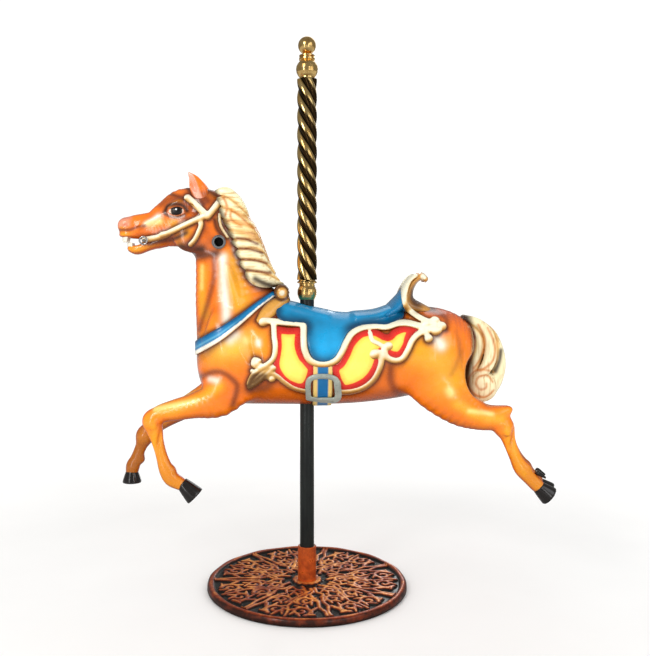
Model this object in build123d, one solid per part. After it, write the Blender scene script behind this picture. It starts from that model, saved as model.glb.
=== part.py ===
"""Carousel horse on a twisted brass pole, standing on a round cast base.

Millimetres.  +X runs towards the tail, -Y is the horse's left side, +Z is up.  The origin is on the pole's
axis, on the floor.  Three rigid groups: the stand, the pole that swivels in it, and the horse on the pole.
"""

from build123d import *
from math import cos, radians, sin
import os

# ---------------------------------------------------------------- driving dimensions
POLE_R = 19.0  # 38 mm steel tube
POLE_WALL = 3.0
BASE_R = 267.0
BASE_TOP = 18.0
SOCKET_TOP = 107.0
SLEEVE_LOW = 823.0
SLEEVE_HIGH = 1364.0
TWIST_LEAD = 196.0
TWIST_STARTS = 4
LOBE_R = 27.0
VALLEY_R = 20.6
SHELL_WALL = 6.0  # moulded glass-fibre skin
RUNNING_GAP = 0.06  # radial, between the pole and what it turns or slides in
MOULD_GAP = 0.25  # between moulded pieces laid on one another
HANDLE_R = 12.5  # 25 mm hand grip, one in each side of the head
HANDLE_AT = (-232.0, 922.0)  # x, z of the hand grips' sockets
HANDLE_WEB = 5.0  # half the solid web between the two sockets
LINER_R = 22.5
LEG_Y = 72.0  # foreleg, off the centre plane
HIND_Y = 78.0
FAR = 2000.0  # larger than the whole object

# ---------------------------------------------------------------- horse stations
# Each station is (x, z, half depth in the side view, half width across).
TORSO = [
    (-286, 622, 58, 48), (-240, 620, 110, 92), (-120, 621, 132, 120), (60, 612, 122, 125),
    (240, 626, 116, 124), (340, 642, 119, 117), (430, 626, 88, 84), (468, 618, 46, 46),
]
NECK = [(-165, 660, 122, 88), (-214, 838, 89, 60), (-246, 970, 62, 46), (-262, 1030, 40, 34)]
HEAD = [
    (-246, 990, 60, 38), (-305, 987, 83, 49), (-360, 977, 69, 44), (-432, 962, 43, 31), (-504, 958, 20, 19),
]
JAW = [(-398, 924, 15, 22), (-446, 906, 14, 20), (-481, 906, 7, 13)]
FORE_NEAR = [
    [(-198, 556, 74, 42), (-252, 503, 42, 38), (-330, 482, 30, 27), (-392, 462, 25, 23)],
    [(-391, 466, 24, 22), (-384, 405, 19, 16), (-362, 324, 20, 18), (-318, 297, 21, 21)],
]
FORE_FAR = [
    [(-202, 556, 74, 42), (-290, 490, 38, 34), (-385, 444, 28, 26), (-446, 394, 24, 21)],
    [(-440, 402, 24, 21), (-470, 350, 17, 15), (-486, 308, 20, 18), (-489, 290, 23, 23)],
]
HIND_NEAR = [
    [(300, 606, 100, 44), (362, 540, 80, 42), (435, 476, 40, 33), (500, 458, 30, 24)],
    [(492, 470, 28, 23), (524, 400, 18, 16), (557, 334, 21, 18), (598, 288, 20, 20)],
]
HIND_FAR = [
    [(304, 600, 100, 44), (378, 528, 80, 42), (462, 454, 40, 33), (532, 430, 30, 24)],
    [(524, 442, 28, 23), (566, 370, 18, 16), (604, 304, 21, 18), (646, 257, 20, 20)],
]
MANE = [(-252, 1044, 16, 20), (-176, 986, 40, 50), (-132, 890, 44, 62), (-104, 830, 30, 56)]
TAIL = [(424, 720, 12, 14), (480, 650, 32, 32), (482, 575, 46, 36), (478, 526, 40, 28)]
# Hooves: coronet centre, sole centre (x, z), half length of the sole, half width, side offset.
HOOVES = {
    "fore_hoof_left": ((-317, 296.5), (-291, 276), 39, 30, -LEG_Y),
    "fore_hoof_right": ((-489, 289), (-489, 256), 39, 30, LEG_Y),
    "hind_hoof_left": ((599, 287), (629, 266), 30, 28, -HIND_Y),
    "hind_hoof_right": ((647, 256), (677, 234), 30, 28, HIND_Y),
}

# ---------------------------------------------------------------- side-view outlines of the trappings (x, z)
SEAT_OUTLINE = [
    (-84, 790), (-80, 712), (0, 709), (3, 660), (20, 615), (66, 615), (90, 655), (122, 704),
    (205, 704), (250, 722), (262, 790),
]
FRONT_CLOTH = [(-85, 702), (-12, 702), (-12, 655), (0, 600), (8, 548), (-68, 565), (-86, 595), (-80, 640)]
REAR_CLOTH = [
    (70, 604), (92, 634), (120, 690), (280, 692), (245, 628), (200, 634), (172, 585), (140, 555), (90, 548),
]
TOP_TRIM = [(-118, 712), (-8, 705), (-6, 655), (14, 606), (72, 606), (98, 652), (128, 696), (240, 700), (318, 698)]
FRONT_TRIM = [(-88, 702), (-84, 640), (-108, 604)]
LOW_FRONT_TRIM = [(-100, 574), (-66, 560), (-6, 541)]
LOW_REAR_TRIM = [(90, 540), (146, 560), (178, 606)]
LOBE_TRIM = [(196, 640), (242, 620), (288, 680)]
BREAST_ROUTE = [(-60, 790), (-130, 752), (-215, 694), (-330, 632)]
CANTLE = [
    (222, 728), (234, 762), (262, 826), (290, 845), (318, 838), (318, 828), (292, 824), (288, 806), (322, 764),
    (322, 728),
]


# ---------------------------------------------------------------- shape helpers
def limb(stations, y=0.0, grow=0.0):
    """A smooth loft through ellipses set square to a spine in the side view."""
    sections = []
    last = len(stations) - 1
    for i, (x, z, depth, width) in enumerate(stations):
        before = stations[max(i - 1, 0)]
        after = stations[min(i + 1, last)]
        along = Vector(after[0] - before[0], 0, after[1] - before[1]).normalized()
        end_push = grow * ((i == last) - (i == 0))
        centre = Vector(x, y, z) + along * end_push
        plane = Plane(origin=centre, x_dir=(along.Z, 0, -along.X), z_dir=along)
        sections.append(plane * Ellipse(depth + grow, width + grow))
    return loft(sections)


def turned(points):
    """A solid of revolution about the pole's axis from (radius, height) points."""
    outline = make_face(Plane.XZ * Polyline(*points, close=True))
    return revolve(outline, Axis.Z)


def tube(outer, inner, low, high):
    """A round tube on the pole's axis."""
    middle = (low + high) / 2
    return Pos(0, 0, middle) * (Cylinder(outer, high - low) - Cylinder(inner, high - low + 1))


def rod(radius, low, high):
    """A round bar on the pole's axis."""
    return Pos(0, 0, (low + high) / 2) * Cylinder(radius, high - low)


def across(radius, x, z, y_low, y_high):
    """A round bar lying across the horse, along Y."""
    return Pos(x, (y_low + y_high) / 2, z) * Rot(90, 0, 0) * Cylinder(radius, y_high - y_low)


def radial(radius, angle, z, near, far):
    """A round bar pointing out from the pole's axis."""
    along = Vector(cos(radians(angle)), sin(radians(angle)), 0)
    start = along * near + Vector(0, 0, z)
    return extrude(Plane(origin=start, z_dir=along) * Circle(radius), amount=far - near)


def prism(sketch):
    """A side-view sketch pushed right across the horse."""
    return extrude(sketch, amount=FAR, both=True)


def outline(points):
    return Plane.XZ * make_face(Polyline(*points, close=True))


def band(points, width):
    """A strap of even width along straight runs in the side view."""
    edges = []
    for sign in (1, -1):
        row = []
        for i, (x, z) in enumerate(points):
            before = Vector(*points[max(i - 1, 0)])
            after = Vector(*points[min(i + 1, len(points) - 1)])
            along = (after - before).normalized()
            row.append((x - sign * along.Y * width / 2, z + sign * along.X * width / 2))
        edges += row[::sign]
    return outline(edges)


def side(sign):
    """Everything on one side of the centre plane: -1 is the horse's left."""
    return Pos(0, sign * FAR / 2, 0) * Box(2 * FAR, FAR, 2 * FAR)


def main_solid(shape):
    """The largest solid of a cut, without its slivers."""
    return max(shape.solids(), key=lambda s: s.volume)


def save(shape, node):
    export_step(shape, f"parts/{node}.step")


# ---------------------------------------------------------------- stand
PAD_R, PAD_TOP = 263.0, 2.98
PLATE_LOW = 3.0
FLANGE_R, FLANGE_TOP = 50.0, 9.0
SOCKET_R, SOCKET_BORE_R = 24.5, 21.05
WASHER_LOW, WASHER_TOP = 10.0, 13.0
POLE_FOOT = 16.0
GRUB_ANGLES = (45, 135)
GRUB_Z, GRUB_R = 80.0, 4.0
FLANGE_SCREW_PCR, FLANGE_SCREW_R = 38.0, 3.0


def ring_of_four(shape):
    return [Rot(0, 0, 45 + 90 * i) * shape for i in range(4)]


def make_base_plate():
    plate = turned([
        (SOCKET_R + 0.2, PLATE_LOW), (BASE_R, PLATE_LOW), (BASE_R, 15), (BASE_R - 3, BASE_TOP + 1),
        (BASE_R - 11, BASE_TOP + 1), (BASE_R - 16, BASE_TOP - 3), (60, BASE_TOP - 3), (52, BASE_TOP),
        (SOCKET_R + 0.2, BASE_TOP),
    ])
    plate -= tube(240, 66, PLATE_LOW - 1, 8)
    for i in range(8):
        rib = Pos(153, 0, (PLATE_LOW + 9) / 2) * Box(186, 9, 9 - PLATE_LOW)
        plate += Rot(0, 0, 45 * i) * rib
    plate -= rod(FLANGE_R + 0.3, PLATE_LOW - 1, FLANGE_TOP)
    for hole in ring_of_four(Pos(FLANGE_SCREW_PCR, 0, 10) * Cylinder(FLANGE_SCREW_R + 0.05, 9)):
        plate -= hole
    return plate


def flange_screw(gap):
    """A countersunk screw up through the flange, or its hole when gap is positive."""
    head_r = 6.0
    head = Pos(FLANGE_SCREW_PCR, 0, PLATE_LOW + 1.5) * Cone(head_r + gap, FLANGE_SCREW_R + gap, 3)
    shank = Pos(FLANGE_SCREW_PCR, 0, 9.75) * Cylinder(FLANGE_SCREW_R + gap, 7.5)
    return head + shank


def make_pole_socket():
    socket = rod(FLANGE_R, PLATE_LOW, FLANGE_TOP) + rod(SOCKET_R, PLATE_LOW, SOCKET_TOP)
    socket = chamfer(socket.edges().filter_by(GeomType.CIRCLE).group_by(Axis.Z)[-1], 1.5)
    socket -= rod(SOCKET_BORE_R, WASHER_LOW, SOCKET_TOP + 1)
    for hole in ring_of_four(flange_screw(0.05)):
        socket -= hole
    for angle in GRUB_ANGLES:
        socket -= radial(GRUB_R + 0.05, angle, GRUB_Z, 18, 30)
    return socket


def make_socket_bush():
    bush = tube(SOCKET_BORE_R - 0.03, POLE_R + RUNNING_GAP, WASHER_TOP + 0.1, SOCKET_TOP - 1)
    for angle in GRUB_ANGLES:
        bush -= radial(GRUB_R + 0.4, angle, GRUB_Z, 15, 30)
    return bush


def make_stand():
    save(make_base_plate(), "base_plate")
    save(make_pole_socket(), "pole_socket")
    save(make_socket_bush(), "socket_bush")
    save(rod(SOCKET_BORE_R - 0.2, WASHER_LOW, WASHER_TOP), "thrust_washer")
    save(rod(PAD_R, 0, PAD_TOP), "base_pad")
    save(Compound(children=ring_of_four(flange_screw(0.0))), "flange_screws")
    grubs = [radial(GRUB_R, a, GRUB_Z, POLE_R + 0.1, SOCKET_R - 0.3) for a in GRUB_ANGLES]
    save(Compound(children=grubs), "socket_grub_screws")


# ---------------------------------------------------------------- pole and brass
FERRULE_LOW = 770.0
POLE_TOP = 1398.0
BALL_Z, BALL_R = 1455.0, 24.2
STUD_R = 5.0
BRASS_BORE_R = POLE_R + 0.1
FERRULE_SCREW_Z = 790.0


def make_lower_ferrule():
    body = turned([
        (BRASS_BORE_R, FERRULE_LOW), (20.6, FERRULE_LOW), (23.4, 776), (25.6, 783), (26.0, 790), (25.2, 797),
        (22.6, 803), (20.8, 806), (20.8, 813), (26.6, 815), (26.6, 818), (23.0, 820), (22.0, SLEEVE_LOW - 0.1),
        (BRASS_BORE_R, SLEEVE_LOW - 0.1),
    ])
    return body - radial(2.55, 90, FERRULE_SCREW_Z, 15, 30)


def make_brass_sleeve():
    step = 360 / TWIST_STARTS
    lobes = []
    for i in range(TWIST_STARTS):
        a, b, c = (radians(step * (i + t)) for t in (-0.5, 0, 0.5))
        lobes.append(ThreePointArc(
            (VALLEY_R * cos(a), VALLEY_R * sin(a)), (LOBE_R * cos(b), LOBE_R * sin(b)),
            (VALLEY_R * cos(c), VALLEY_R * sin(c)),
        ))
    section = make_face(Curve() + lobes)
    length = SLEEVE_HIGH - SLEEVE_LOW
    turn = -360 * length / TWIST_LEAD
    blank = Solid.extrude_linear_with_rotation(section.face(), (0, 0, 0), (0, 0, length), turn)
    return Pos(0, 0, SLEEVE_LOW) * blank - rod(BRASS_BORE_R, SLEEVE_LOW - 1, SLEEVE_HIGH + 1)


def make_upper_ferrule():
    low = SLEEVE_HIGH + 0.1
    return turned([
        (BRASS_BORE_R, low), (20.6, low), (20.6, 1369), (24.5, 1374), (28.4, 1382), (29.7, 1391), (28.6, 1399),
        (25.0, 1406), (20.0, 1412), (19.0, 1414), (21.6, 1416), (21.6, 1420), (18.2, 1421), (18.2, 1423),
        (21.2, 1424), (21.2, 1428), (14.0, 1431), (12.0, 1434), (STUD_R + 0.1, 1434),
        (STUD_R + 0.1, POLE_TOP + 0.3), (BRASS_BORE_R, POLE_TOP + 0.3),
    ])


def make_finial_ball():
    ball = Pos(0, 0, BALL_Z) * Sphere(BALL_R) - rod(BALL_R, 1420, 1436)
    neck = turned([(0, 1434.2), (12.5, 1434.2), (10.5, 1436), (13.5, 1438), (0, 1440)])
    return ball + neck - rod(STUD_R + 0.05, 1430, 1452)


def make_pole():
    bore = POLE_R - POLE_WALL
    save(tube(POLE_R, bore, POLE_FOOT, POLE_TOP), "steel_pole")
    foot = rod(POLE_R - 0.2, WASHER_TOP + 0.02, POLE_FOOT - 0.02) + rod(bore - 0.05, POLE_FOOT - 1, 46)
    save(foot, "pole_foot_plug")
    save(make_lower_ferrule(), "lower_ferrule")
    save(radial(2.5, 90, FERRULE_SCREW_Z, POLE_R + 0.02, 25.2), "ferrule_grub_screw")
    save(make_brass_sleeve(), "brass_sleeve")
    save(make_upper_ferrule(), "upper_ferrule")
    save(tube(bore - 0.05, STUD_R + 0.05, 1370, POLE_TOP - 0.1), "pole_top_plug")
    save(rod(STUD_R, 1372, 1450), "finial_stud")
    save(make_finial_ball(), "finial_ball")


# ---------------------------------------------------------------- horse
LOCK_Z = 530.0
FORMERS = {"front_former": (-196, 620, 84, 70), "rear_former": (300, 636, 84, 84)}
EYE_AT, EYE_R, EYE_Y = (-346, 1005), 13.0, 33.0
BIT_AT = (-434, 927)


def torso(grow=0.0):
    return limb(TORSO, grow=grow)


def neck(grow=0.0):
    return limb(NECK, grow=grow)


def skull(grow=0.0):
    return limb(HEAD, grow=grow)


def pole_hole(radius):
    return rod(radius, 300, 1000)


def save_halves(solid, node):
    """A moulding split on the centre plane into a left and a right shell."""
    for sign, name in ((-1, "left"), (1, "right")):
        save(main_solid(solid & side(sign)), f"{node}_{name}")


def make_torso_shells():
    shell = torso() - torso(-SHELL_WALL) - pole_hole(LINER_R + 0.1)
    save_halves(shell - across(GRUB_R + 0.5, 0, LOCK_Z, -200, 200), "torso_shell")


def make_head_shells(body_cut):
    outer = neck() + skull() + limb(JAW)
    shell = outer - (neck(-SHELL_WALL) + skull(-SHELL_WALL)) - body_cut
    shell -= across(HANDLE_R + 2.6, *HANDLE_AT, -200, 200)
    shell -= across(4.1, *BIT_AT, -200, 200)
    for sign in (-1, 1):
        shell -= Pos(EYE_AT[0], sign * EYE_Y, EYE_AT[1]) * Sphere(EYE_R + 0.1)
    save_halves(shell, "head_shell")


def make_hoof(node, grow=0.0):
    (cx, cz), (sx, sz), half_length, half_width, y = HOOVES[node]
    along = Vector(sx - cx, 0, sz - cz).normalized()
    top = Plane(origin=(cx, y, cz), x_dir=(along.Z, 0, -along.X), z_dir=along).offset(-grow)
    low = Plane(origin=(sx, y, sz), x_dir=(along.Z, 0, -along.X), z_dir=along)
    return loft([
        top * Ellipse(half_length * 0.62 + grow, half_width * 0.8 + grow),
        low * Ellipse(half_length + grow, half_width + grow),
    ])


def make_legs(body_cut):
    legs = {
        "foreleg_left": (FORE_NEAR, -LEG_Y, "fore_hoof_left"),
        "foreleg_right": (FORE_FAR, LEG_Y, "fore_hoof_right"),
        "hindleg_left": (HIND_NEAR, -HIND_Y, "hind_hoof_left"),
        "hindleg_right": (HIND_FAR, HIND_Y, "hind_hoof_right"),
    }
    for node, ((upper, lower), y, hoof) in legs.items():
        leg = (limb(upper, y) - body_cut) + (limb(lower, y) - make_hoof(hoof, MOULD_GAP))
        save(main_solid(leg), node)
        save(make_hoof(hoof), hoof)


def make_inside_parts():
    liner = tube(LINER_R, POLE_R + RUNNING_GAP, 492, 735)
    save(liner - across(GRUB_R + 0.5, 0, LOCK_Z, -60, 60), "pole_liner")
    save(tube(44, LINER_R + 0.1, 698, 704), "saddle_flange")
    belly = tube(44, LINER_R + 0.1, 514, 520) + tube(33, LINER_R + 0.1, 520, 542)
    save(belly - across(GRUB_R + 0.05, 0, LOCK_Z, -60, 60), "belly_flange")
    screws = [across(GRUB_R, 0, LOCK_Z, *sorted((s * (POLE_R + 0.1), s * 35))) for s in (-1, 1)]
    save(Compound(children=screws), "horse_lock_screws")
    for node, (x, z, half_height, half_width) in FORMERS.items():
        plate = Plane(origin=(x, 0, z), z_dir=(1, 0, 0)) * (Ellipse(half_width, half_height) - Circle(34))
        save(extrude(plate, amount=7, both=True), node)


def make_saddle(body_cut, trims):
    seat = (torso(9) - body_cut) & prism(outline(SEAT_OUTLINE))
    seat -= prism(trims) + prism(outline(CANTLE)) + pole_hole(LINER_R + 0.5)
    save(main_solid(seat), "saddle")


def make_cloth_and_trim(body_cut, trims):
    cloth_outline = outline(FRONT_CLOTH) + outline(REAR_CLOTH) - trims - outline(SEAT_OUTLINE)
    cloth = (torso(3.5) - body_cut) & prism(cloth_outline - outline(CANTLE))
    trim = (torso(8) - body_cut) & prism(trims - outline(CANTLE))
    for sign, name in ((-1, "left"), (1, "right")):
        for layer, node in ((cloth, "saddle_cloth"), (trim, "saddle_trim")):
            pieces = [s for s in (layer & side(sign)).solids() if s.volume > 400]
            save(Compound(children=pieces), f"{node}_{name}")


def make_girth_and_stirrups(body_cut):
    strap = (torso(4.5) - body_cut) & Pos(42, 0, 420) * Box(28, FAR, 352)
    save(main_solid(strap - pole_hole(POLE_R + 3)), "girth_strap")
    frame = outline([(2, 510), (4, 552), (18, 566), (66, 566), (80, 552), (82, 510)])
    window = outline([(13, 520), (15, 548), (24, 556), (60, 556), (69, 548), (71, 520)])
    irons = (torso(12) - torso(5)) & prism(frame - window)
    save(Compound(children=[main_solid(irons & side(sign)) for sign in (-1, 1)]), "stirrups")


def make_cantle(body_cut):
    profile = Plane.XZ * make_face(Polyline(*CANTLE, close=True))
    save(main_solid(extrude(profile, amount=62, both=True) - body_cut), "cantle_scroll")


def make_pommel(neck_cut):
    roll = across(22, -66, 789, -38, 38) + Pos(-70, 0, 766) * Box(32, 56, 30)
    save(main_solid(roll - torso(10) - neck_cut), "pommel_scroll")


def make_breast_strap(body_cut, neck_cut):
    """The band from the pommel down across both shoulders and round the chest."""
    strap = (torso(4.5) - body_cut - neck_cut) & prism(band(BREAST_ROUTE, 26))
    save(strap, "breast_strap")


def make_bridle(skin_cut):
    straps = band([(-430, 936), (-370, 958), (-272, 984)], 9) + band([(-326, 1038), (-300, 1012), (-276, 982)], 10)
    straps += band([(-290, 978), (-290, 940), (-300, 906)], 9)
    layer = (skull(3.0) - skin_cut) & prism(straps)
    pieces = []
    for sign in (-1, 1):
        pieces += [s for s in (layer & side(sign)).solids() if s.volume > 200]
    save(Compound(children=pieces), "bridle")


def make_ear(sign):
    stations = ((-286, 27, 1052, 17, 9), (-298, 30, 1080, 16, 8), (-312, 33, 1110, 3, 2))
    sections = []
    for x, y, z, length, width in stations:
        plane = Plane(origin=(x, sign * y, z), z_dir=(-0.45, sign * 0.1, 1), x_dir=(1, 0, 0.45))
        sections.append(plane * Ellipse(length, width))
    return loft(sections)


def make_teeth(z, tip, half_width, thick):
    """The front of a row of teeth, curved round the gum."""
    outer = Ellipse(24, half_width) - Ellipse(18, half_width - 5)
    row = Pos(tip + 24, 0, z) * extrude(outer & Pos(-14, 0) * Rectangle(22, 80), amount=thick / 2, both=True)
    return row


def make_head_fittings(skin_cut):
    for sign, name in ((-1, "left"), (1, "right")):
        save(main_solid(make_ear(sign) - skin_cut), f"ear_{name}")
        save(Pos(EYE_AT[0], sign * EYE_Y, EYE_AT[1]) * Sphere(EYE_R), f"eye_{name}")
    save(main_solid(make_teeth(930, -497, 17, 8) - skin_cut), "upper_teeth")
    save(main_solid(make_teeth(919, -486, 13, 7) - skin_cut), "lower_teeth")
    rings = [Pos(BIT_AT[0], sign * 37, BIT_AT[1]) * Rot(90, 0, 0) * Torus(10, 2.4) for sign in (-1, 1)]
    save(Compound(children=rings), "bit_rings")
    save(across(4, *BIT_AT, -34, 34), "bit_bar")
    sockets = across(HANDLE_R, *HANDLE_AT, -60, -HANDLE_WEB) + across(HANDLE_R, *HANDLE_AT, HANDLE_WEB, 60)
    save(across(HANDLE_R + 2.5, *HANDLE_AT, -54, 54) - sockets, "handle_tube")
    grommets = []
    for sign in (-1, 1):
        ring = across(18.5, *HANDLE_AT, *sorted((sign * 52, sign * 55)))
        grommets.append(main_solid(ring - across(HANDLE_R + 2.6, *HANDLE_AT, -60, 60) - skin_cut))
    save(Compound(children=grommets), "handle_grommets")


def make_horse():
    body_cut = torso(MOULD_GAP)
    neck_cut = neck(MOULD_GAP)
    skin_cut = skull(MOULD_GAP) + neck_cut + limb(JAW, grow=MOULD_GAP)
    make_torso_shells()
    make_head_shells(body_cut)
    make_legs(body_cut)
    make_inside_parts()
    trims = band(TOP_TRIM, 13) + band(FRONT_TRIM, 12) + band(LOW_FRONT_TRIM, 10)
    trims += band(LOW_REAR_TRIM, 11) + band(LOBE_TRIM, 11)
    make_saddle(body_cut, trims)
    make_cloth_and_trim(body_cut, trims)
    make_girth_and_stirrups(body_cut)
    make_cantle(body_cut)
    make_pommel(neck_cut)
    make_breast_strap(body_cut, neck_cut)
    save(main_solid(limb(MANE) - skin_cut - body_cut), "mane")
    save(main_solid(limb(TAIL) - body_cut), "tail")
    make_bridle(skin_cut)
    make_head_fittings(skin_cut)


os.makedirs("parts", exist_ok=True)
make_stand()
make_pole()
make_horse()
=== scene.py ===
"""Carousel horse on a twisted brass pole: the visual model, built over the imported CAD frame.

The horse's skin, hair, saddle and straps are sculpted as distance fields in millimetres on one grid, meshed,
and painted with attributes that the node materials read.  The base's scrollwork is a height field.
"""

import math

import bpy
import numpy as np
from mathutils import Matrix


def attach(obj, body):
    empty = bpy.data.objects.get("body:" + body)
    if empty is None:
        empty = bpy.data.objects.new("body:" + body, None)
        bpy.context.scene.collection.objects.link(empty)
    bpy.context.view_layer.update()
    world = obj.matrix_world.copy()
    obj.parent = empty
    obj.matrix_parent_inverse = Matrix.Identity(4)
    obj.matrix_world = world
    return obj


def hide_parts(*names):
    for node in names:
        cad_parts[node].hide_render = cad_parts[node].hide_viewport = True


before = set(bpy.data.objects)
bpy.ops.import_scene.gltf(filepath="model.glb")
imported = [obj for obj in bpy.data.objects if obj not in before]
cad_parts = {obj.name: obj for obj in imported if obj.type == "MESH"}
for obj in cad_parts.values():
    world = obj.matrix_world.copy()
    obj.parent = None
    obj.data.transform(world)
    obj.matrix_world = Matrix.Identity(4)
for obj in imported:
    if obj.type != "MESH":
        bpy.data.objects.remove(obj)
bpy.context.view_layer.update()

import openvdb
from mathutils import Vector

STEP = 3.0  # grid spacing of the sculpt, mm
FAR = 60.0  # the distance that an empty field holds
RNG = np.random.default_rng(7)
SIDES = {"left": -1, "right": 1}  # the sign of Y on each side
EYE_RANGE, EYE_HEIGHT = 2070.0, 793.0  # the camera, in front of the pole
POLE_HOLE = 23  # radius cleared around the pole in skin and girth
SEAT_HOLE = 22
NEARBY = 30  # a form is worked out this far outside its surface
HANDLE_X, HANDLE_Z, HANDLE_HOLE = -232, 922, 15.1  # the hand-grip tube across the neck, and its radius


# ---------------- the sculpting grid
class Grid:
    """A block of space on which distance fields are kept, as float arrays of millimetres."""

    def __init__(self, low, high, step):
        self.low = np.array(low, float)
        self.step = step
        self.shape = tuple(int(math.ceil((b - a) / step)) + 1 for a, b in zip(low, high))
        self.axes = [self.low[i] + step * np.arange(self.shape[i]) for i in range(3)]

    def empty(self):
        return np.full(self.shape, FAR, np.float32)

    def window(self, low, high):
        """The slices covering a box, and their coordinate arrays ready to broadcast."""
        cuts, coords = [], []
        for i in range(3):
            start = int(max(0, math.floor((low[i] - self.low[i]) / self.step)))
            stop = int(min(self.shape[i], math.ceil((high[i] - self.low[i]) / self.step) + 1))
            cuts.append(slice(start, max(stop, start)))
            form = [1, 1, 1]
            form[i] = -1
            coords.append(self.axes[i][cuts[i]].reshape(form).astype(np.float32))
        return tuple(cuts), coords

    def sample(self, field, points):
        """Trilinear values of a field at an (n, 3) array of points."""
        place = (points - self.low) / self.step
        place = np.clip(place, 0, np.array(self.shape) - 1.001)
        cell = place.astype(int)
        part = place - cell
        value = np.zeros(len(points))
        for corner in range(8):
            shift = np.array([corner & 1, corner >> 1 & 1, corner >> 2 & 1])
            weight = np.prod(np.where(shift, part, 1 - part), axis=1)
            at = cell + shift
            value += weight * field[at[:, 0], at[:, 1], at[:, 2]]
        return value

    def slope(self, field, points):
        """The field's gradient at points."""
        rows = []
        for i in range(3):
            shift = np.zeros(3)
            shift[i] = self.step * 0.6
            rows.append(self.sample(field, points + shift) - self.sample(field, points - shift))
        return np.stack(rows, 1) / (1.2 * self.step)


GRID = Grid((-540, -168, 196), (712, 168, 1132), STEP)
X, Y, Z = GRID.window((-9999,) * 3, (9999,) * 3)[1]
XS, ZS = GRID.axes[0][:, None], GRID.axes[2][None, :]  # the same as a side-view sheet


def soft_min(a, b, k):
    """Joins two fields with a fillet about k wide."""
    if k <= 0:
        return np.minimum(a, b)
    blend = np.maximum(k - np.abs(a - b), 0) / k
    return np.minimum(a, b) - blend * blend * k * 0.25


def soft_max(a, b, k):
    """Where two fields overlap, with the edge rounded about k wide."""
    return -soft_min(-a, -b, k)


def dense(points, count):
    """A Catmull-Rom curve through rows of numbers, count steps to each interval."""
    p = np.array(points, float)
    padded = np.vstack([2 * p[0] - p[1], p, 2 * p[-1] - p[-2]])
    rows = []
    for i in range(1, len(padded) - 2):
        a, b, c, d = padded[i - 1:i + 3]
        for t in np.arange(count) / count:
            rows.append(0.5 * (2 * b + (c - a) * t + (2 * a - 5 * b + 4 * c - d) * t * t
                               + (3 * b - a - 3 * c + d) * t ** 3))
    rows.append(p[-1])
    return np.array(rows)


def along(axis, origin, place):
    """How far along an axis from an origin the places are, from their x, y and z arrays."""
    return sum((p - o) * a for p, o, a in zip(place, origin, axis))


def near_ellipsoid(offsets, radii):
    """An ellipsoid's signed distance, nearly, from offsets along its axes."""
    k0 = np.sqrt(sum((d / r) ** 2 for d, r in zip(offsets, radii)))
    k1 = np.sqrt(sum((d / r ** 2) ** 2 for d, r in zip(offsets, radii))) + 1e-6
    return k0 * (k0 - 1) / k1


def limb_field(stations, field=None, smooth=0.0, count=4, second=None, cap_ratio=1.0):
    """Adds a limb of elliptical cross-section; a station is x, y, z, half depth, half width.

    With second given, it keeps the distance to the second nearest limb, for the grooves between locks.
    """
    out = GRID.empty() if field is None else field
    s = dense(stations, count)
    margin = s[:, 3:].max(1)[:, None] + NEARBY + 10
    cuts, _ = GRID.window((s[:, :3] - margin).min(0), (s[:, :3] + margin).max(0))
    own = np.full(out[cuts].shape, FAR, np.float32)
    origin = [c.start for c in cuts]
    for a, b in zip(s[:-1], s[1:]):
        reach = max(a[3], a[4], b[3], b[4]) + NEARBY
        seg_cuts, place = GRID.window(np.minimum(a[:3], b[:3]) - reach, np.maximum(a[:3], b[:3]) + reach)
        length = np.linalg.norm(b[:3] - a[:3])
        forward = (b[:3] - a[:3]) / length
        across = np.cross(forward, (0, 1, 0))
        across /= np.linalg.norm(across) + 1e-9
        side = np.cross(across, forward)
        run = along(forward, a, place) / length
        u = np.clip(run, 0, 1)
        depth = a[3] + u * (b[3] - a[3])
        width = a[4] + u * (b[4] - a[4])
        cap = np.minimum(depth, width) * cap_ratio
        d = near_ellipsoid((along(across, a, place), along(side, a, place), (run - u) * length),
                           (depth, width, cap))
        local = tuple(slice(c.start - o, c.stop - o) for c, o in zip(seg_cuts, origin))
        own[local] = np.minimum(own[local], d)
    if second is not None:
        second[cuts] = np.minimum(second[cuts], np.maximum(out[cuts], own))
    out[cuts] = soft_min(out[cuts], own, smooth)
    return out


def blob(field, centre, radii, turn=0.0, smooth=10.0, carve=False):
    """Adds or carves an ellipsoid turned by degrees about Y."""
    reach = max(radii) + NEARBY
    centre = np.array(centre, float)
    cuts, (x, y, z) = GRID.window(centre - reach, centre + reach)
    c, s = math.cos(math.radians(turn)), math.sin(math.radians(turn))
    dx, dz = x - centre[0], z - centre[2]
    d = near_ellipsoid((dx * c + dz * s, y - centre[1], -dx * s + dz * c), radii)
    if carve:
        field[cuts] = soft_max(field[cuts], -d, smooth)
    else:
        field[cuts] = soft_min(field[cuts], d, smooth)


def both(field, x, y, z, radii, turn=0.0, smooth=10.0, carve=False):
    for side in SIDES.values():
        blob(field, (x, side * y, z), radii, turn, smooth, carve)


# ---------------- side-view drawings
def beside(x, z, a, b):
    """How far along from a to b a point of a plane is, 0 to 1, and its distance from that stretch."""
    run = b - a
    u = np.clip(((x - a[0]) * run[0] + (z - a[1]) * run[1]) / (run @ run), 0, 1)
    return u, np.hypot(x - a[0] - u * run[0], z - a[1] - u * run[1])


def line_distance(points, curve=True):
    """Distance in the side view from an open line, on the grid's x, z sheet."""
    p = dense(points, 5) if curve and len(points) > 2 else np.array(points, float)
    best = np.full((GRID.shape[0], GRID.shape[2]), 1e9)
    for a, b in zip(p[:-1], p[1:]):
        best = np.minimum(best, beside(XS, ZS, a, b)[1])
    return best


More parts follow.
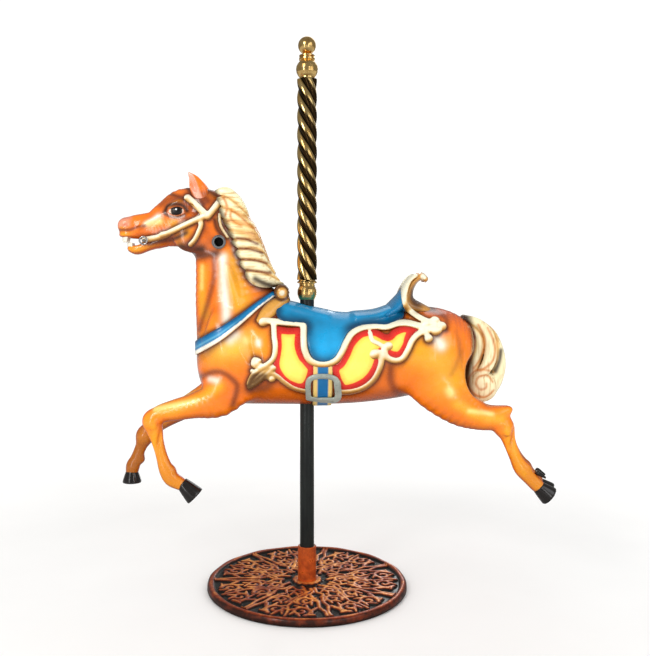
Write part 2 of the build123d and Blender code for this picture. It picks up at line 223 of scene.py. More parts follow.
def region(points):
    """Signed distance in the side view from a closed outline, negative inside."""
    p = dense(list(points) + [points[0]], 4)
    inside = np.zeros((GRID.shape[0], GRID.shape[2]), bool)
    for a, b in zip(p[:-1], p[1:]):
        crosses = (a[1] > ZS) != (b[1] > ZS)
        rise = b[1] - a[1] if abs(b[1] - a[1]) > 1e-9 else 1e-9
        inside ^= crosses & (XS < (b[0] - a[0]) * (ZS - a[1]) / rise + a[0])
    edge = line_distance(p, curve=False)
    return np.where(inside, -edge, edge)


def sheet(flat):
    """A side-view drawing spread across the horse."""
    return flat[:, None, :].astype(np.float32)


def on_sheet(flat, points):
    """A side-view drawing's values at points."""
    return GRID.sample(np.broadcast_to(sheet(flat), GRID.shape), points)


def half_width(field, x, z):
    """How far out from the centre plane a form reaches at a point of the side view."""
    i = int(np.argmin(np.abs(GRID.axes[0] - x)))
    k = int(np.argmin(np.abs(GRID.axes[2] - z)))
    inside = np.abs(GRID.axes[1][field[i, :, k] < 0])
    return float(inside.max()) if len(inside) else 0.0


def drawn_in(points, field):
    """Lays a side-view drawing, made as the camera sees it, on the near side of a form."""
    rows = []
    for x, z, *rest in points:
        scale = 1 - half_width(field, x, z) / EYE_RANGE
        rows.append((x * scale, EYE_HEIGHT + (z - EYE_HEIGHT) * scale, *rest))
    return rows


# ---------------- meshing and vertex paint
def mesh_from(field, name):
    """Meshes a field's zero surface, settles its points on the field and rides it on the horse."""
    solid = np.argwhere(field < STEP)
    low = np.maximum(solid.min(0) - 3, 0)
    high = np.minimum(solid.max(0) + 4, GRID.shape)
    crop = np.ascontiguousarray(field[low[0]:high[0], low[1]:high[1], low[2]:high[2]])
    crop = np.pad(crop, 1, constant_values=FAR / 2).astype(np.float32)
    vdb = openvdb.FloatGrid(FAR)
    vdb.copyFromArray(crop)
    points, quads = vdb.convertToQuads(isovalue=0.0)
    points = (points + low - 1) * STEP + GRID.low
    for _ in range(2):
        slope = GRID.slope(field, points)
        size = np.maximum((slope ** 2).sum(1), 0.2)
        move = slope * (GRID.sample(field, points) / size)[:, None]
        points = points - np.clip(move, -STEP, STEP)
    return make_object(name, points, quads[:, ::-1], "horse")


def make_object(name, points, faces, body):
    mesh = bpy.data.meshes.new(name)
    mesh.from_pydata((np.asarray(points) / 1000).tolist(), [], np.asarray(faces).tolist())
    mesh.validate()
    mesh.polygons.foreach_set("use_smooth", [True] * len(mesh.polygons))
    obj = bpy.data.objects.new(name, mesh)
    bpy.context.collection.objects.link(obj)
    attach(obj, body)
    return obj


def piece(name, field, slot, look, *nodes):
    """A piece of the horse meshed from a field, in place of the named CAD nodes, and its points."""
    obj = mesh_from(field, name)
    give(obj, look)
    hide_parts(*nodes)
    return obj, points_of(obj)


def give(obj, mat):
    obj.data.materials.clear()
    obj.data.materials.append(mat)


def points_of(obj):
    co = np.empty(len(obj.data.vertices) * 3)
    obj.data.vertices.foreach_get("co", co)
    return co.reshape(-1, 3) * 1000


def paint(obj, name, values):
    """Keeps one number or one colour for each vertex."""
    values = np.asarray(values, float)
    if values.ndim == 2:
        kept = obj.data.attributes.new(name, "FLOAT_COLOR", "POINT")
        rgba = np.ones((len(values), 4))
        rgba[:, :3] = values
        kept.data.foreach_set("color", rgba.ravel())
    else:
        kept = obj.data.attributes.new(name, "FLOAT", "POINT")
        kept.data.foreach_set("value", values)


def lin(r, g, b):
    """A screen colour in 0..255 as a linear colour."""
    c = np.array([r, g, b]) / 255
    return np.where(c <= 0.04045, c / 12.92, ((c + 0.055) / 1.055) ** 2.4)


def step_up(value, low, high):
    """0 below low, 1 above high and a smooth rise between them."""
    t = np.clip((value - low) / (high - low), 0, 1)
    return t * t * (3 - 2 * t)


def mix(a, b, amount):
    amount = np.asarray(amount)[..., None] if np.ndim(amount) else amount
    return a * (1 - amount) + b * amount


def unit(slope):
    return slope / (np.linalg.norm(slope, axis=1)[:, None] + 1e-6)


def bulge(field, reach):
    """A box blur of a field less the field: above zero on swells and below it in hollows."""
    cells = max(1, round(reach / STEP))
    out = np.clip(field, -FAR, FAR).astype(np.float32)
    for axis in range(3):
        pads = [(cells + 1, cells) if i == axis else (0, 0) for i in range(3)]
        total = np.cumsum(np.pad(out, pads, "edge"), axis=axis, dtype=np.float64)
        n = out.shape[axis]
        ahead = np.take(total, range(2 * cells + 1, 2 * cells + 1 + n), axis)
        behind = np.take(total, range(0, n), axis)
        out = ((ahead - behind) / (2 * cells + 1)).astype(np.float32)
    return out - field


# ---------------- node materials
class Nodes:
    """A short way to write the nodes of a material or a world."""

    def __init__(self, owner):
        owner.use_nodes = True
        self.owner = owner
        self.tree = owner.node_tree

    def add(self, kind, *sources, **settings):
        """Adds a node whose first inputs take the sources."""
        node = self.tree.nodes.new("ShaderNode" + kind)
        for source, socket in zip(sources, node.inputs):
            self.tree.links.new(source, socket)
        for key, value in settings.items():
            label = key.replace("_", " ")
            if label in node.inputs:
                node.inputs[label].default_value = value
            else:
                setattr(node, key, value)
        return node

    def place(self, kind="Object"):
        return self.add("TexCoord").outputs[kind]

    def noise(self, scale, detail=4.0, rough=0.5):
        node = self.add("TexNoise", self.place(), Scale=scale, Detail=detail, Roughness=rough)
        return node.outputs["Fac"]

    def grain(self, stretch, turn=0.0, **settings):
        """Noise stretched along the axes, for strands and drawn metal."""
        mapping = self.add("Mapping", self.place(), Rotation=(0, turn, 0), Scale=stretch)
        return self.add("TexNoise", mapping.outputs[0], Scale=1.0, **settings).outputs["Fac"]

    def ramp(self, source, *stops):
        node = self.add("ValToRGB", source)
        while len(node.color_ramp.elements) < len(stops):
            node.color_ramp.elements.new(0.5)
        for element, (place, colour) in zip(node.color_ramp.elements, stops):
            element.position = place
            element.color = (*colour, 1)
        return node.outputs["Color"]

    def span(self, source, a, b, c, d):
        """Maps a..b to c..d."""
        node = self.add("MapRange", source, From_Min=a, From_Max=b, To_Min=c, To_Max=d)
        return node.outputs["Result"]

    def mixed(self, factor, a, b, blend="MIX"):
        node = self.add("Mix", data_type="RGBA", blend_type=blend)
        for value, socket in ((factor, node.inputs[0]), (a, node.inputs[6]), (b, node.inputs[7])):
            if isinstance(value, bpy.types.NodeSocket):
                self.tree.links.new(value, socket)
            else:
                socket.default_value = value if np.ndim(value) == 0 else (*value, 1)
        return node.outputs[2]

    def attribute(self, name, kind="Fac"):
        return self.add("Attribute", attribute_name=name).outputs[kind]

    def surface(self, colour, roughness, bump=None, **values):
        """Feeds the surface: its colour, roughness over a noise, bump as (height, strength, distance)."""
        sockets = self.tree.nodes["Principled BSDF"].inputs
        self.tree.links.new(colour, sockets["Base Color"])
        if roughness:
            noise, low, high = roughness
            self.tree.links.new(self.span(noise, 0.3, 0.7, low, high), sockets["Roughness"])
        if bump:
            height, strength, distance = bump
            node = self.add("Bump", Strength=strength, Distance=distance)
            self.tree.links.new(height, node.inputs["Height"])
            self.tree.links.new(node.outputs["Normal"], sockets["Normal"])
        for key, value in values.items():
            socket = sockets[key.replace("_", " ")]
            if isinstance(value, bpy.types.NodeSocket):
                self.tree.links.new(value, socket)
            else:
                socket.default_value = value
        return self.owner


def material(name):
    return Nodes(bpy.data.materials.new(name))


def enamel(name, flat=None, roughness=0.24, coat=0.6, mottle=0.10, metallic=0.0):
    """Hand-sprayed gloss enamel on glass fibre: cloudy colour, orange peel and faint handling wear."""
    m = material(name)
    base = m.attribute("paint", "Color") if flat is None else flat
    shade = m.ramp(m.noise(16, 5, 0.6), (0.3, (1 - mottle * 1.6,) * 3), (0.7, (1 + mottle * 0.4,) * 3))
    gloss = (m.noise(55, 3), roughness - 0.05, roughness + 0.10)
    return m.surface(m.mixed(1.0, base, shade, "MULTIPLY"), gloss, (m.noise(240, 2), 0.10, 0.0006),
                     Coat_Weight=coat, Coat_Roughness=0.12, Metallic=metallic)


# ---------------- the horse's skin
TORSO = [
    (-262, 0, 622, 92, 70), (-236, 0, 620, 112, 92), (-190, 0, 620, 128, 108), (-110, 0, 622, 132, 120),
    (0, 0, 614, 125, 124), (110, 0, 610, 118, 125), (210, 0, 618, 115, 124), (300, 0, 636, 116, 121),
    (370, 0, 632, 108, 106), (412, 0, 626, 88, 86),
]
NECK = [
    (-165, 0, 660, 120, 84), (-193, 0, 752, 108, 68), (-213, 0, 838, 88, 55), (-232, 0, 918, 70, 47),
    (-250, 0, 985, 60, 42), (-262, 0, 1030, 38, 33),
]
SKULL = [
    (-262, 0, 990, 62, 36), (-294, 0, 985, 86, 43), (-330, 0, 987, 82, 44), (-362, 0, 977, 67, 39),
    (-400, 0, 964, 52, 31), (-432, 0, 967, 37, 27), (-462, 0, 966, 32, 26), (-482, 0, 964, 27, 25),
]
JAW = [(-396, 0, 926, 16, 24), (-428, 0, 915, 14, 21), (-456, 0, 906, 15, 20), (-472, 0, 908, 12, 16)]
LEGS = {
    "foreleg_left": [
        (-196, -64, 566, 78, 40), (-232, -72, 513, 50, 40), (-288, -74, 496, 34, 33),
        (-340, -74, 484, 28, 27), (-378, -74, 474, 24, 22), (-400, -74, 456, 25, 23),
        (-397, -74, 434, 22, 20), (-388, -74, 400, 16, 14), (-378, -74, 364, 15, 13),
        (-366, -74, 328, 19, 16), (-352, -74, 305, 20, 17), (-330, -74, 292, 17, 16),
    ],
    "foreleg_right": [
        (-200, 64, 566, 78, 40), (-252, 72, 513, 48, 40), (-318, 74, 478, 33, 32), (-385, 74, 443, 26, 25),
        (-428, 74, 416, 24, 22), (-450, 74, 390, 23, 21), (-464, 74, 358, 16, 14), (-477, 74, 326, 16, 14),
        (-486, 74, 306, 19, 17), (-489, 74, 288, 17, 16),
    ],
    "hindleg_left": [
        (306, -70, 612, 92, 48), (352, -78, 548, 78, 44), (400, -80, 494, 54, 37), (446, -80, 468, 36, 29),
        (488, -80, 460, 30, 24), (512, -80, 440, 25, 20), (524, -80, 404, 17, 15), (540, -80, 364, 16, 14),
        (556, -80, 334, 20, 17), (578, -80, 308, 18, 16), (596, -80, 290, 18, 17),
    ],
    "hindleg_right": [
        (306, 70, 608, 92, 48), (362, 78, 540, 78, 44), (424, 80, 482, 54, 37), (478, 80, 450, 36, 29),
        (524, 80, 438, 30, 24), (550, 80, 416, 25, 20), (565, 80, 376, 17, 15), (584, 80, 336, 16, 14),
        (602, 80, 306, 20, 17), (626, 80, 278, 18, 16), (644, 80, 260, 18, 17),
    ],
}
# x, y, z of the coronet, then of the middle of the sole
HOOVES = {
    "fore_hoof_left": ((-322, -74, 290), (-290, -74, 258)),
    "fore_hoof_right": ((-489, 74, 286), (-489, 74, 258)),
    "hind_hoof_left": ((602, -80, 283), (630, -80, 260)),
    "hind_hoof_right": ((650, 80, 253), (677, 80, 232)),
}


def sculpt_trunk():
    trunk = limb_field(TORSO, cap_ratio=0.36)
    limb_field(NECK, trunk, 46)
    both(trunk, -205, 66, 650, (52, 50, 92), 22, 34)  # shoulder blades
    both(trunk, 318, 66, 640, (84, 56, 84), -18, 34)  # haunches
    both(trunk, -252, 34, 600, (30, 40, 58), 0, 24)  # breast
    both(trunk, -262, 74, 752, (9, 16, 84), -10, 16, carve=True)  # groove along the neck
    both(trunk, -196, 62, 800, (12, 14, 66), 14, 22)  # neck muscle behind it
    both(trunk, -148, 122, 660, (12, 13, 60), 16, 20, carve=True)  # crease behind the shoulder
    both(trunk, -238, 96, 566, (34, 14, 8), -14, 12, carve=True)  # fold over the elbow
    both(trunk, 226, 122, 556, (22, 18, 50), -20, 22, carve=True)  # flank hollow
    both(trunk, 400, 104, 610, (9, 14, 70), -6, 20, carve=True)  # crease of the buttock
    blob(trunk, (-106, 0, 778), (30, 30, 22), 12, 16)  # withers under the end of the mane
    return trunk


def sculpt_head():
    head = limb_field(SKULL)
    limb_field(JAW, head, 12)
    both(head, -306, 32, 942, (50, 17, 46), 0, 12)  # jowl
    both(head, -345, 33, 1026, (29, 12, 10), 24, 9)  # brow
    both(head, -410, 26, 982, (42, 7, 7), 28, 9)  # cheek bone
    both(head, -345, 47, 1005, (27, 9, 16), 8, 6, carve=True)  # eye socket
    both(head, -300, 42, 1012, (20, 9, 18), 0, 10, carve=True)  # hollow behind the eye
    both(head, -484, 19, 972, (16, 10, 13), 20, 8)  # nostril wing
    both(head, -489, 28, 966, (13, 6, 4.5), 14, 4, carve=True)  # nostril
    blob(head, (-480, 0, 944), (26, 25, 10), 0, 8)  # upper lip
    blob(head, (-490, 0, 972), (19, 21, 17), 10, 10)  # nose
    blob(head, (-488, 0, 926), (42, 60, 10), -6, 4, carve=True)  # open mouth
    return head


def sculpt_leg(name, stations):
    field = limb_field(stations)
    x, y, z, *_ = stations[5]
    outer = math.copysign(1, y)
    blob(field, (x - 4, y, z), (22, 21, 24), 0, 12)  # knee or hock
    blob(field, (x + 2, y + outer * 20, z - 4), (9, 5, 14), 0, 8)
    if name.startswith("hind"):
        blob(field, (x - 10, y, z + 40), (32, 18, 15), 14, 16)  # point of the hock
    x, y, z, *_ = stations[-3]
    blob(field, (x + 12, y, z - 2), (12, 11, 12), 0, 10)  # fetlock
    x, y, z, *_ = stations[-5]
    blob(field, (x + 3, y + outer * 14, z), (4, 6, 40), -16, 8, carve=True)  # groove along the tendon
    return field


def sculpt_hoof(coronet, sole):
    top, low = np.array(coronet, float), np.array(sole, float)
    field = limb_field([(*top, 17, 17), (*((top + low) / 2), 22, 21), (*(low + (low - top) * 0.2), 28, 25)])
    down = (low - top) / np.linalg.norm(low - top)
    field = soft_max(field, along(down, low, (X, Y, Z)), 4)
    field = soft_max(field, -along(down, top, (X, Y, Z)) - 6, 3)
    if top[0] > 0:  # the ergot behind a hind pastern
        x, y, z = top
        limb_field([(x - 4, y, z + 38, 7, 9), (x + 16, y, z + 26, 3, 4)], field, 3)
    return field


def sculpt_skin():
    """The whole horse before anything is put on it or through it."""
    skin = soft_min(sculpt_trunk(), sculpt_head(), 26)
    for name, stations in LEGS.items():
        skin = soft_min(skin, sculpt_leg(name, stations), 22)
    blob(skin, (455, 0, 572), (50, 300, 62), 0, 10, carve=True)  # the hollow that the tail's curl lies in
    return skin


bare = sculpt_skin()
handle_hole = HANDLE_HOLE - np.hypot(X - HANDLE_X, Z - HANDLE_Z)
skin = soft_max(bare, np.broadcast_to(handle_hole, bare.shape), 2)
skin = np.maximum(skin, POLE_HOLE - np.hypot(X, Y))

# BROWN, DARK and the groove and edge colours mostly lay painted shade; YELLOW, GLOW, PALE and WHITE lay
# painted highlights
BROWN, DARK, GROOVE_SHADE = lin(120, 46, 10), lin(44, 20, 10), lin(214, 128, 44)
EDGE_SHADE, ORANGE = lin(214, 84, 14), lin(255, 122, 12)
YELLOW, GLOW, PALE = lin(255, 178, 26), lin(255, 214, 90), lin(255, 236, 140)
PINK, WHITE = lin(250, 160, 132), lin(255, 255, 236)
CREAM = lin(255, 246, 214)

# Painted highlights brushed on in the side view: half width, colour, strength, then points
PAINTED_HIGHLIGHTS = (
    (34, YELLOW, 0.85, (-196, 870), (-192, 820), (-180, 760)),
    (17, YELLOW, 0.75, (-284, 850), (-285, 780), (-276, 730)),
    (46, YELLOW, 0.85, (-262, 640), (-200, 640), (-145, 650)), (30, GLOW, 0.55, (-226, 648), (-176, 656)),
    (56, YELLOW, 0.85, (285, 640), (345, 622), (385, 560)),
    (15, YELLOW, 0.85, (-239, 535), (-312, 494), (-400, 470)),
    (15, YELLOW, 0.85, (405, 488), (468, 455), (525, 447)),
    (6, YELLOW, 0.5, (-411, 426), (-397, 364), (-380, 301)),
    (6, YELLOW, 0.5, (538, 416), (561, 353), (588, 299)),
    (12, WHITE, 1.0, (-227, 884), (-223, 800), (-217, 712)), (6, PALE, 0.6, (-283, 860), (-284, 800)),
    (14, WHITE, 0.85, (-196, 676), (-208, 664)), (8, PALE, 0.8, (-166, 662), (-163, 656)),
    (8, WHITE, 0.9, (-132, 656), (-131, 650)), (9, WHITE, 0.75, (-262, 556), (-246, 552)),
    (6, PALE, 0.85, (-411, 474), (-343, 488), (-301, 497)),
    (9, WHITE, 0.95, (-434, 974), (-416, 984), (-402, 994)), (8, PALE, 0.9, (-428, 974), (-396, 980)),
    (20, YELLOW, 0.9, (-356, 968), (-330, 954)), (6, PALE, 0.8, (-352, 1066), (-340, 1076)),
    (5, PALE, 0.8, (-240, 990), (-232, 965), (-222, 950), (-210, 936)),
    (5, WHITE, 0.8, (-197, 905), (-188, 882)), (14, WHITE, 0.95, (350, 664), (360, 646)),
    (11, PALE, 0.8, (384, 524), (388, 516)), (6, PALE, 0.8, (437, 470), (499, 461)),
    (5, YELLOW, 0.5, (-492, 948), (-460, 955)), (8, YELLOW, 0.8, (-470, 902), (-450, 898)),
)
# Painted shade brushed in creases, hollows, under the straps and between parts, with dark marks at the lids,
# brow and ears; the same columns
PAINTED_SHADE_AND_MARKS = (
    (9, BROWN, 0.75, (-250, 890), (-251, 830), (-262, 780), (-275, 735), (-288, 690)),
    (9, BROWN, 0.8, (-288, 565), (-250, 575), (-219, 569), (-192, 545), (-189, 526), (-200, 486)),
    (11, BROWN, 0.35, (-292, 606), (-230, 655), (-175, 700), (-125, 728)),
    (17, DARK, 0.7, (-150, 528), (-112, 534), (-94, 556)),
    (8, DARK, 0.95, (-425, 922), (-380, 929), (-350, 937), (-326, 950)),
    (17, DARK, 0.95, (-340, 912), (-312, 908), (-284, 906)),
    (14, DARK, 0.8, (-322, 892), (-286, 888), (-244, 896)), (10, BROWN, 0.5, (-308, 940), (-314, 920)),
    (5.5, DARK, 0.95, (-250, 986), (-244, 962), (-231, 944)),
    (5, DARK, 0.8, (-224, 1002), (-216, 975), (-206, 955)),
    (4.5, BROWN, 0.9, (-506, 957), (-480, 958), (-460, 965), (-438, 970)),
    (6, DARK, 0.8, (-366, 1053), (-345, 1047), (-326, 1037)),
    (9, DARK, 0.9, (-336, 1078), (-322, 1072), (-312, 1060)),
    (8, DARK, 0.85, (-306, 1056), (-292, 1044), (-280, 1028)),
    (11, DARK, 0.85, (-266, 1066), (-252, 1056), (-240, 1048)), (13, BROWN, 0.9, (-284, 1054), (-268, 1036)),
    (8, DARK, 1.0, (-382, 1008), (-374, 1022), (-354, 1028), (-334, 1023), (-324, 1009)),
    (5.5, DARK, 0.95, (-384, 1003), (-370, 995), (-350, 992), (-330, 998)),
    (12, BROWN, 0.6, (-336, 990), (-318, 980)), (12, BROWN, 0.7, (-392, 1026), (-372, 1040), (-344, 1042)),
    (10, BROWN, 0.6, (-290, 1016), (-300, 1000)), (14, BROWN, 0.45, (-272, 960), (-262, 930)),
    (13, BROWN, 0.8, (223, 590), (229, 540), (256, 512)),
    (7, BROWN, 0.3, (398, 684), (408, 630), (400, 596), (388, 566)),
    (12, DARK, 0.95, (436, 720), (444, 650), (434, 606), (420, 572)),
    (12, BROWN, 0.6, (-150, 484), (-60, 482), (120, 484)),
    (10, BROWN, 0.75, (300, 756), (340, 738), (372, 720), (374, 690)),
    (10, BROWN, 0.5, (-104, 790), (-96, 750), (-92, 724)),
    (13, DARK, 0.95, (-218, 985), (-200, 948), (-194, 922), (-178, 880), (-160, 838), (-130, 806),
     (-84, 800)),
)


def brushed(colour, strokes, form, points, amount):
    """Lays brush strokes, drawn in the side view over a form, on the colours of points."""
    for width, tint, strength, *line in strokes:
        off = on_sheet(line_distance(drawn_in(line, form)), points)
        colour = mix(colour, tint, np.exp(-(off / width) ** 2) * strength * amount)
    return colour


def skin_colour(p, attached):
    """Enamel with painted light: yellow highlights on swells, orange on the sides darkening to shade where
    they turn, brown shade in hollows and by trappings.
    """
    x, y, z = p.T
    near, wide = (GRID.sample(bulge(bare, reach), p) for reach in (9, 27))
    normal = unit(GRID.slope(bare, p))
    sideways, upward = np.abs(normal[:, 1]), normal[:, 2]
    # painted shade: a darker orange where the surface turns away from the side
    colour = mix(EDGE_SHADE, ORANGE, step_up(sideways, 0.1, 0.8))
    # painted highlights in yellow on broad swells that face the side
    colour = mix(colour, YELLOW, step_up(wide, 1.5, 9) * step_up(sideways, 0.3, 0.9) * 0.6)
    # the brushed painted highlights, then the painted shade and dark marks
    colour = brushed(colour, PAINTED_HIGHLIGHTS, bare, p, step_up(np.abs(y), 12, 40))
    colour = brushed(colour, PAINTED_SHADE_AND_MARKS, bare, p, 1)
    touch = np.maximum(GRID.sample(attached, p), 0)
    for tint, amount in (
        (BROWN, step_up(-upward, 0.3, 0.95) * 0.6),  # painted shade underneath
        (BROWN, step_up(-near, 0.2, 3.2) * 0.85),  # painted shade in small hollows
        (BROWN, step_up(-wide, 1.0, 12) * 0.4),  # painted shade in wide hollows
        (BROWN, step_up(y, 30, 60) * step_up(-z, -560, -420) * 0.6),  # painted shade on the far legs
        (BROWN, step_up(-z, -420, -300) * 0.25),  # painted shade on the lower legs and pasterns
        (PINK, step_up(-x, 462, 480) * step_up(z, 962, 968) * 0.85),  # the nose
        # painted shade where the trappings, mane and tail meet the skin
        (BROWN, np.exp(-(touch / 9) ** 2) * 0.75),
        (DARK, np.exp(-(touch / 4) ** 2) * 0.6),
    ):
        colour = mix(colour, tint, amount)
    return colour


horse_enamel = enamel("horse_enamel_paint")
body_skin, skin_points = piece(
    "horse_skin", skin, "horse_enamel", horse_enamel, "torso_shell_left", "torso_shell_right",
    "head_shell_left", "head_shell_right", *LEGS)

hoof_paint = enamel("hoof_gloss_black", flat=lin(26, 22, 20), roughness=0.18, mottle=0.3)
for name, (coronet, sole) in HOOVES.items():
    piece(name + "_form", sculpt_hoof(coronet, sole), "hoof_black", hoof_paint, name)


# ---------------- mane and tail
CREST = (
    (-156, 832), (-172, 860), (-182, 888), (-191, 918), (-200, 948), (-214, 978), (-228, 1015), (-240, 1060),
)
LOCKS = (
    ((-240, 1056), (-210, 1052), (-176, 1020), (-150, 974)),
    ((-234, 1036), (-206, 1020), (-170, 988), (-138, 946)),
    ((-226, 1008), (-200, 990), (-160, 966), (-128, 926)),
    ((-216, 980), (-186, 966), (-150, 944), (-118, 902)),
    ((-205, 950), (-178, 944), (-146, 932), (-114, 896)),
    ((-195, 922), (-166, 918), (-136, 910), (-104, 876)),
    ((-186, 893), (-158, 890), (-126, 881), (-88, 846)), ((-176, 865), (-148, 860), (-114, 850), (-76, 822)),
    ((-162, 838), (-136, 828), (-104, 821), (-66, 808)),
)


def sculpt_mane():
    """Locks that leave the crest and flow back, in a row down each side and one along the middle."""
    field, second = GRID.empty(), GRID.empty()
    for side, shift in ((-1, 0), (1, 0), (0, 12)):
        for row, lock in enumerate(LOCKS):
            path = dense(lock, 2)
            wave = row * 0.9 + RNG.uniform(-0.5, 0.5)
            swell = RNG.uniform(0.85, 1.2)
            stations = []
            for k, (x, z) in enumerate(path):
                t = k / (len(path) - 1)
                thick = (8 + 15 * math.sin(math.pi * min(1, t * 1.15)) ** 0.8) * swell if t < 0.9 else 5
                thick *= 0.65 if row == 0 else 1
                out = (40 + 7 * math.sin(math.pi * t) - 24 * t) * side
                ripple = 5.0 * math.sin(wave + t * 6)
                stations.append((x + shift * (1 - t), out + ripple * (side == 0), z + ripple * t,
                                 thick * 0.82, thick * (0.8 if side else 1.5)))
            limb_field(stations, field, 2.0, 3, second)
    return field, second


# Side-view paths of the tail's locks, from the outside in, and how far each copy lies from the middle
TAIL_LOCKS = (
    ((-12, 12), [(420, 722), (456, 708), (490, 678), (508, 636), (514, 590), (502, 540), (478, 512)]),
    ((-27, 0, 27), [(420, 716), (454, 704), (482, 676), (490, 640), (484, 604), (468, 578), (450, 564)]),
    ((-15, 15), [(422, 710), (444, 692), (458, 666), (460, 638), (452, 610), (444, 586), (434, 562)]),
    ((-10, 10), [(422, 702), (432, 682), (437, 660), (434, 632), (427, 604), (423, 580), (424, 556)]),
)
TAIL_THICK = (8, 13, 16, 17, 17, 15, 9)
CURL_X, CURL_Z = 466, 538


def sculpt_tail():
    """Locks that leave the dock, swell out backwards and end in a curl against the hock."""
    field, second = GRID.empty(), GRID.empty()
    for offsets, path in TAIL_LOCKS:
        for offset in offsets:
            jitter = RNG.normal(0, 2.5, 2)
            rows = []
            for k, ((x, z), r) in enumerate(zip(path, TAIL_THICK)):
                swing = math.sin(k * 1.3 + offset) * 4
                open_out = min(1, 0.35 + k * 0.25)
                rows.append((x + jitter[0] * k / 6, offset * open_out + swing, z + jitter[1], r, r * 0.85))
            limb_field(rows, field, 2.5, 4, second)
    both(field, CURL_X, 16, CURL_Z, (44, 26, 42), 0, 5)
    second[np.broadcast_to(np.hypot(X - CURL_X, Z - CURL_Z) < 46, second.shape)] = FAR
    return field, second


# Lines of painted shade brushed along the grooves of the locks in the side view: half width, colour, then
# points
TAIL_LINES = (
    (11, DARK, (422, 718), (436, 690), (440, 650), (438, 620), (430, 585), (420, 552)),
    (6, DARK, (522, 634), (518, 604), (508, 576)), (4, BROWN, (424, 724), (442, 696), (452, 668)),
    (3.5, GROOVE_SHADE, (462, 702), (478, 668), (480, 636), (468, 606), (448, 584)),
    (3.5, GROOVE_SHADE, (486, 694), (503, 656), (505, 622), (494, 598), (468, 578)),
    (3.5, BROWN, (440, 696), (452, 668), (452, 640), (440, 608), (430, 588)),
    (3, GROOVE_SHADE, (502, 574), (484, 580), (458, 578), (440, 562), (436, 538), (452, 514), (480, 508),
     (502, 526)),
    (3, GROOVE_SHADE, (500, 548), (486, 566), (464, 562), (456, 544), (466, 528), (482, 532), (484, 544)),
    (5, BROWN, (428, 560), (430, 528), (452, 504)),
)
# painted shade brushed in the grooves of the mane and under its lower end; the same columns
MANE_LINES = (
    (3, GROOVE_SHADE, (-204, 1012), (-206, 992), (-192, 976), (-176, 970)),
    (4, GROOVE_SHADE, (-226, 1046), (-216, 1022), (-220, 996)),
    (3, GROOVE_SHADE, (-206, 1012), (-184, 997), (-154, 970), (-134, 958)),
    (4, BROWN, (-190, 936), (-162, 932), (-134, 920)), (4, BROWN, (-182, 908), (-152, 905), (-120, 896)),
    (4, BROWN, (-174, 878), (-144, 876), (-108, 868)), (4, BROWN, (-162, 850), (-132, 846), (-98, 842)),
    (9, DARK, (-140, 826), (-112, 812), (-84, 806), (-66, 808)),
)


def hair_colour(p, field, second, lines, root_shade):
    """Cream locks, with painted shade in brown in the grooves between them, in brushed lines and dark at the
    roots.
    """
    gap = GRID.sample(second, p)
    hollow = GRID.sample(bulge(field, 6), p)
    # painted shade in the grooves and hollows between the locks
    colour = mix(lin(255, 243, 198), lin(255, 214, 120), step_up(-gap, -9, -3) * 0.7)
    colour = mix(colour, GROOVE_SHADE, step_up(-gap, -6, -0.5) * 0.6)
    colour = mix(colour, BROWN, step_up(-hollow, 0.3, 2.2) * 0.7)
    strokes = [(width, tint, 0.95, *line) for width, tint, *line in lines]
    colour = brushed(colour, strokes, field, p, step_up(np.abs(p[:, 1]), 4, 16))
    # painted shade: dark where the hair meets the skin
    return mix(colour, DARK, root_shade * 0.85)


def hair_material(name, turn, stretch):
    """Moulded hair under gloss cream, with combed strands as bump."""
    m = material(name)
    strands = m.grain(stretch, turn, Detail=3.0, Distortion=0.4)
    tone = m.ramp(strands, (0.32, (0.60, 0.42, 0.22)), (0.5, (1, 1, 1)))
    return m.surface(m.mixed(0.75, m.attribute("paint", "Color"), tone, "MULTIPLY"), (strands, 0.34, 0.22),
                     (strands, 0.6, 0.003), Coat_Weight=0.4, Coat_Roughness=0.15)


mane_field, gaps = sculpt_mane()
look = hair_material("mane_paint", 0.55, (18, 110, 170))
mane, p = piece("mane_locks", mane_field, "mane_cream", look, "mane")
crest_x = np.interp(p[:, 2], [z for _, z in CREST], [x for x, _ in CREST])
# painted shade along the crest, where the mane meets the neck
paint(mane, "paint", hair_colour(p, mane_field, gaps, MANE_LINES, step_up(crest_x - p[:, 0], -12, 6)))

tail_field, gaps = sculpt_tail()
look = hair_material("tail_paint", 0.12, (150, 120, 16))
tail, p = piece("tail_locks", tail_field, "mane_cream", look, "tail")
# painted shade at the dock, where the tail meets the rump
paint(tail, "paint", hair_colour(p, tail_field, gaps, TAIL_LINES, step_up(-p[:, 0], -450, -426)))


# ---------------- ears and eyes
def ring_faces(rings, count, closed=False):
    """Quads between successive rings of count points; closed joins the last ring to the first."""
    j = np.arange(count)
    k = (j + 1) % count
    faces = []
    for i in range(rings if closed else rings - 1):
        low, high = i * count, (i + 1) % rings * count
        faces.append(np.stack([low + j, high + j, high + k, low + k], 1))
    return np.vstack(faces)


def make_ear(word, side):
    field = limb_field([
        (-282, side * 26, 1044, 21, 12), (-289, side * 29, 1064, 22, 12), (-301, side * 32, 1088, 15, 9),
        (-313, side * 33, 1107, 3, 3),
    ])
    blob(field, (-304, side * 39, 1078), (9, 10, 25), 24, 3, carve=True)
    ear, p = piece(f"ear_{word}_form", field, "horse_enamel", horse_enamel, f"ear_{word}")
    inside = np.hypot(p[:, 0] + 303 + (p[:, 2] - 1078) * 0.4, p[:, 1] - side * 40) / 11
    # painted shade at the ear's base, where it meets the head
    colour = mix(ORANGE, BROWN, step_up(-p[:, 2], -1066, -1050) * 0.6)
    paint(ear, "paint", mix(colour, lin(250, 176, 150), step_up(-inside, -1.25, -0.7)))


EYE_X, EYE_OUT, EYE_Z = -345, 27, 1005  # the middle of the eyeball
EYE_LONG, EYE_DEEP, EYE_TALL = 27, 17, 17  # its half sizes


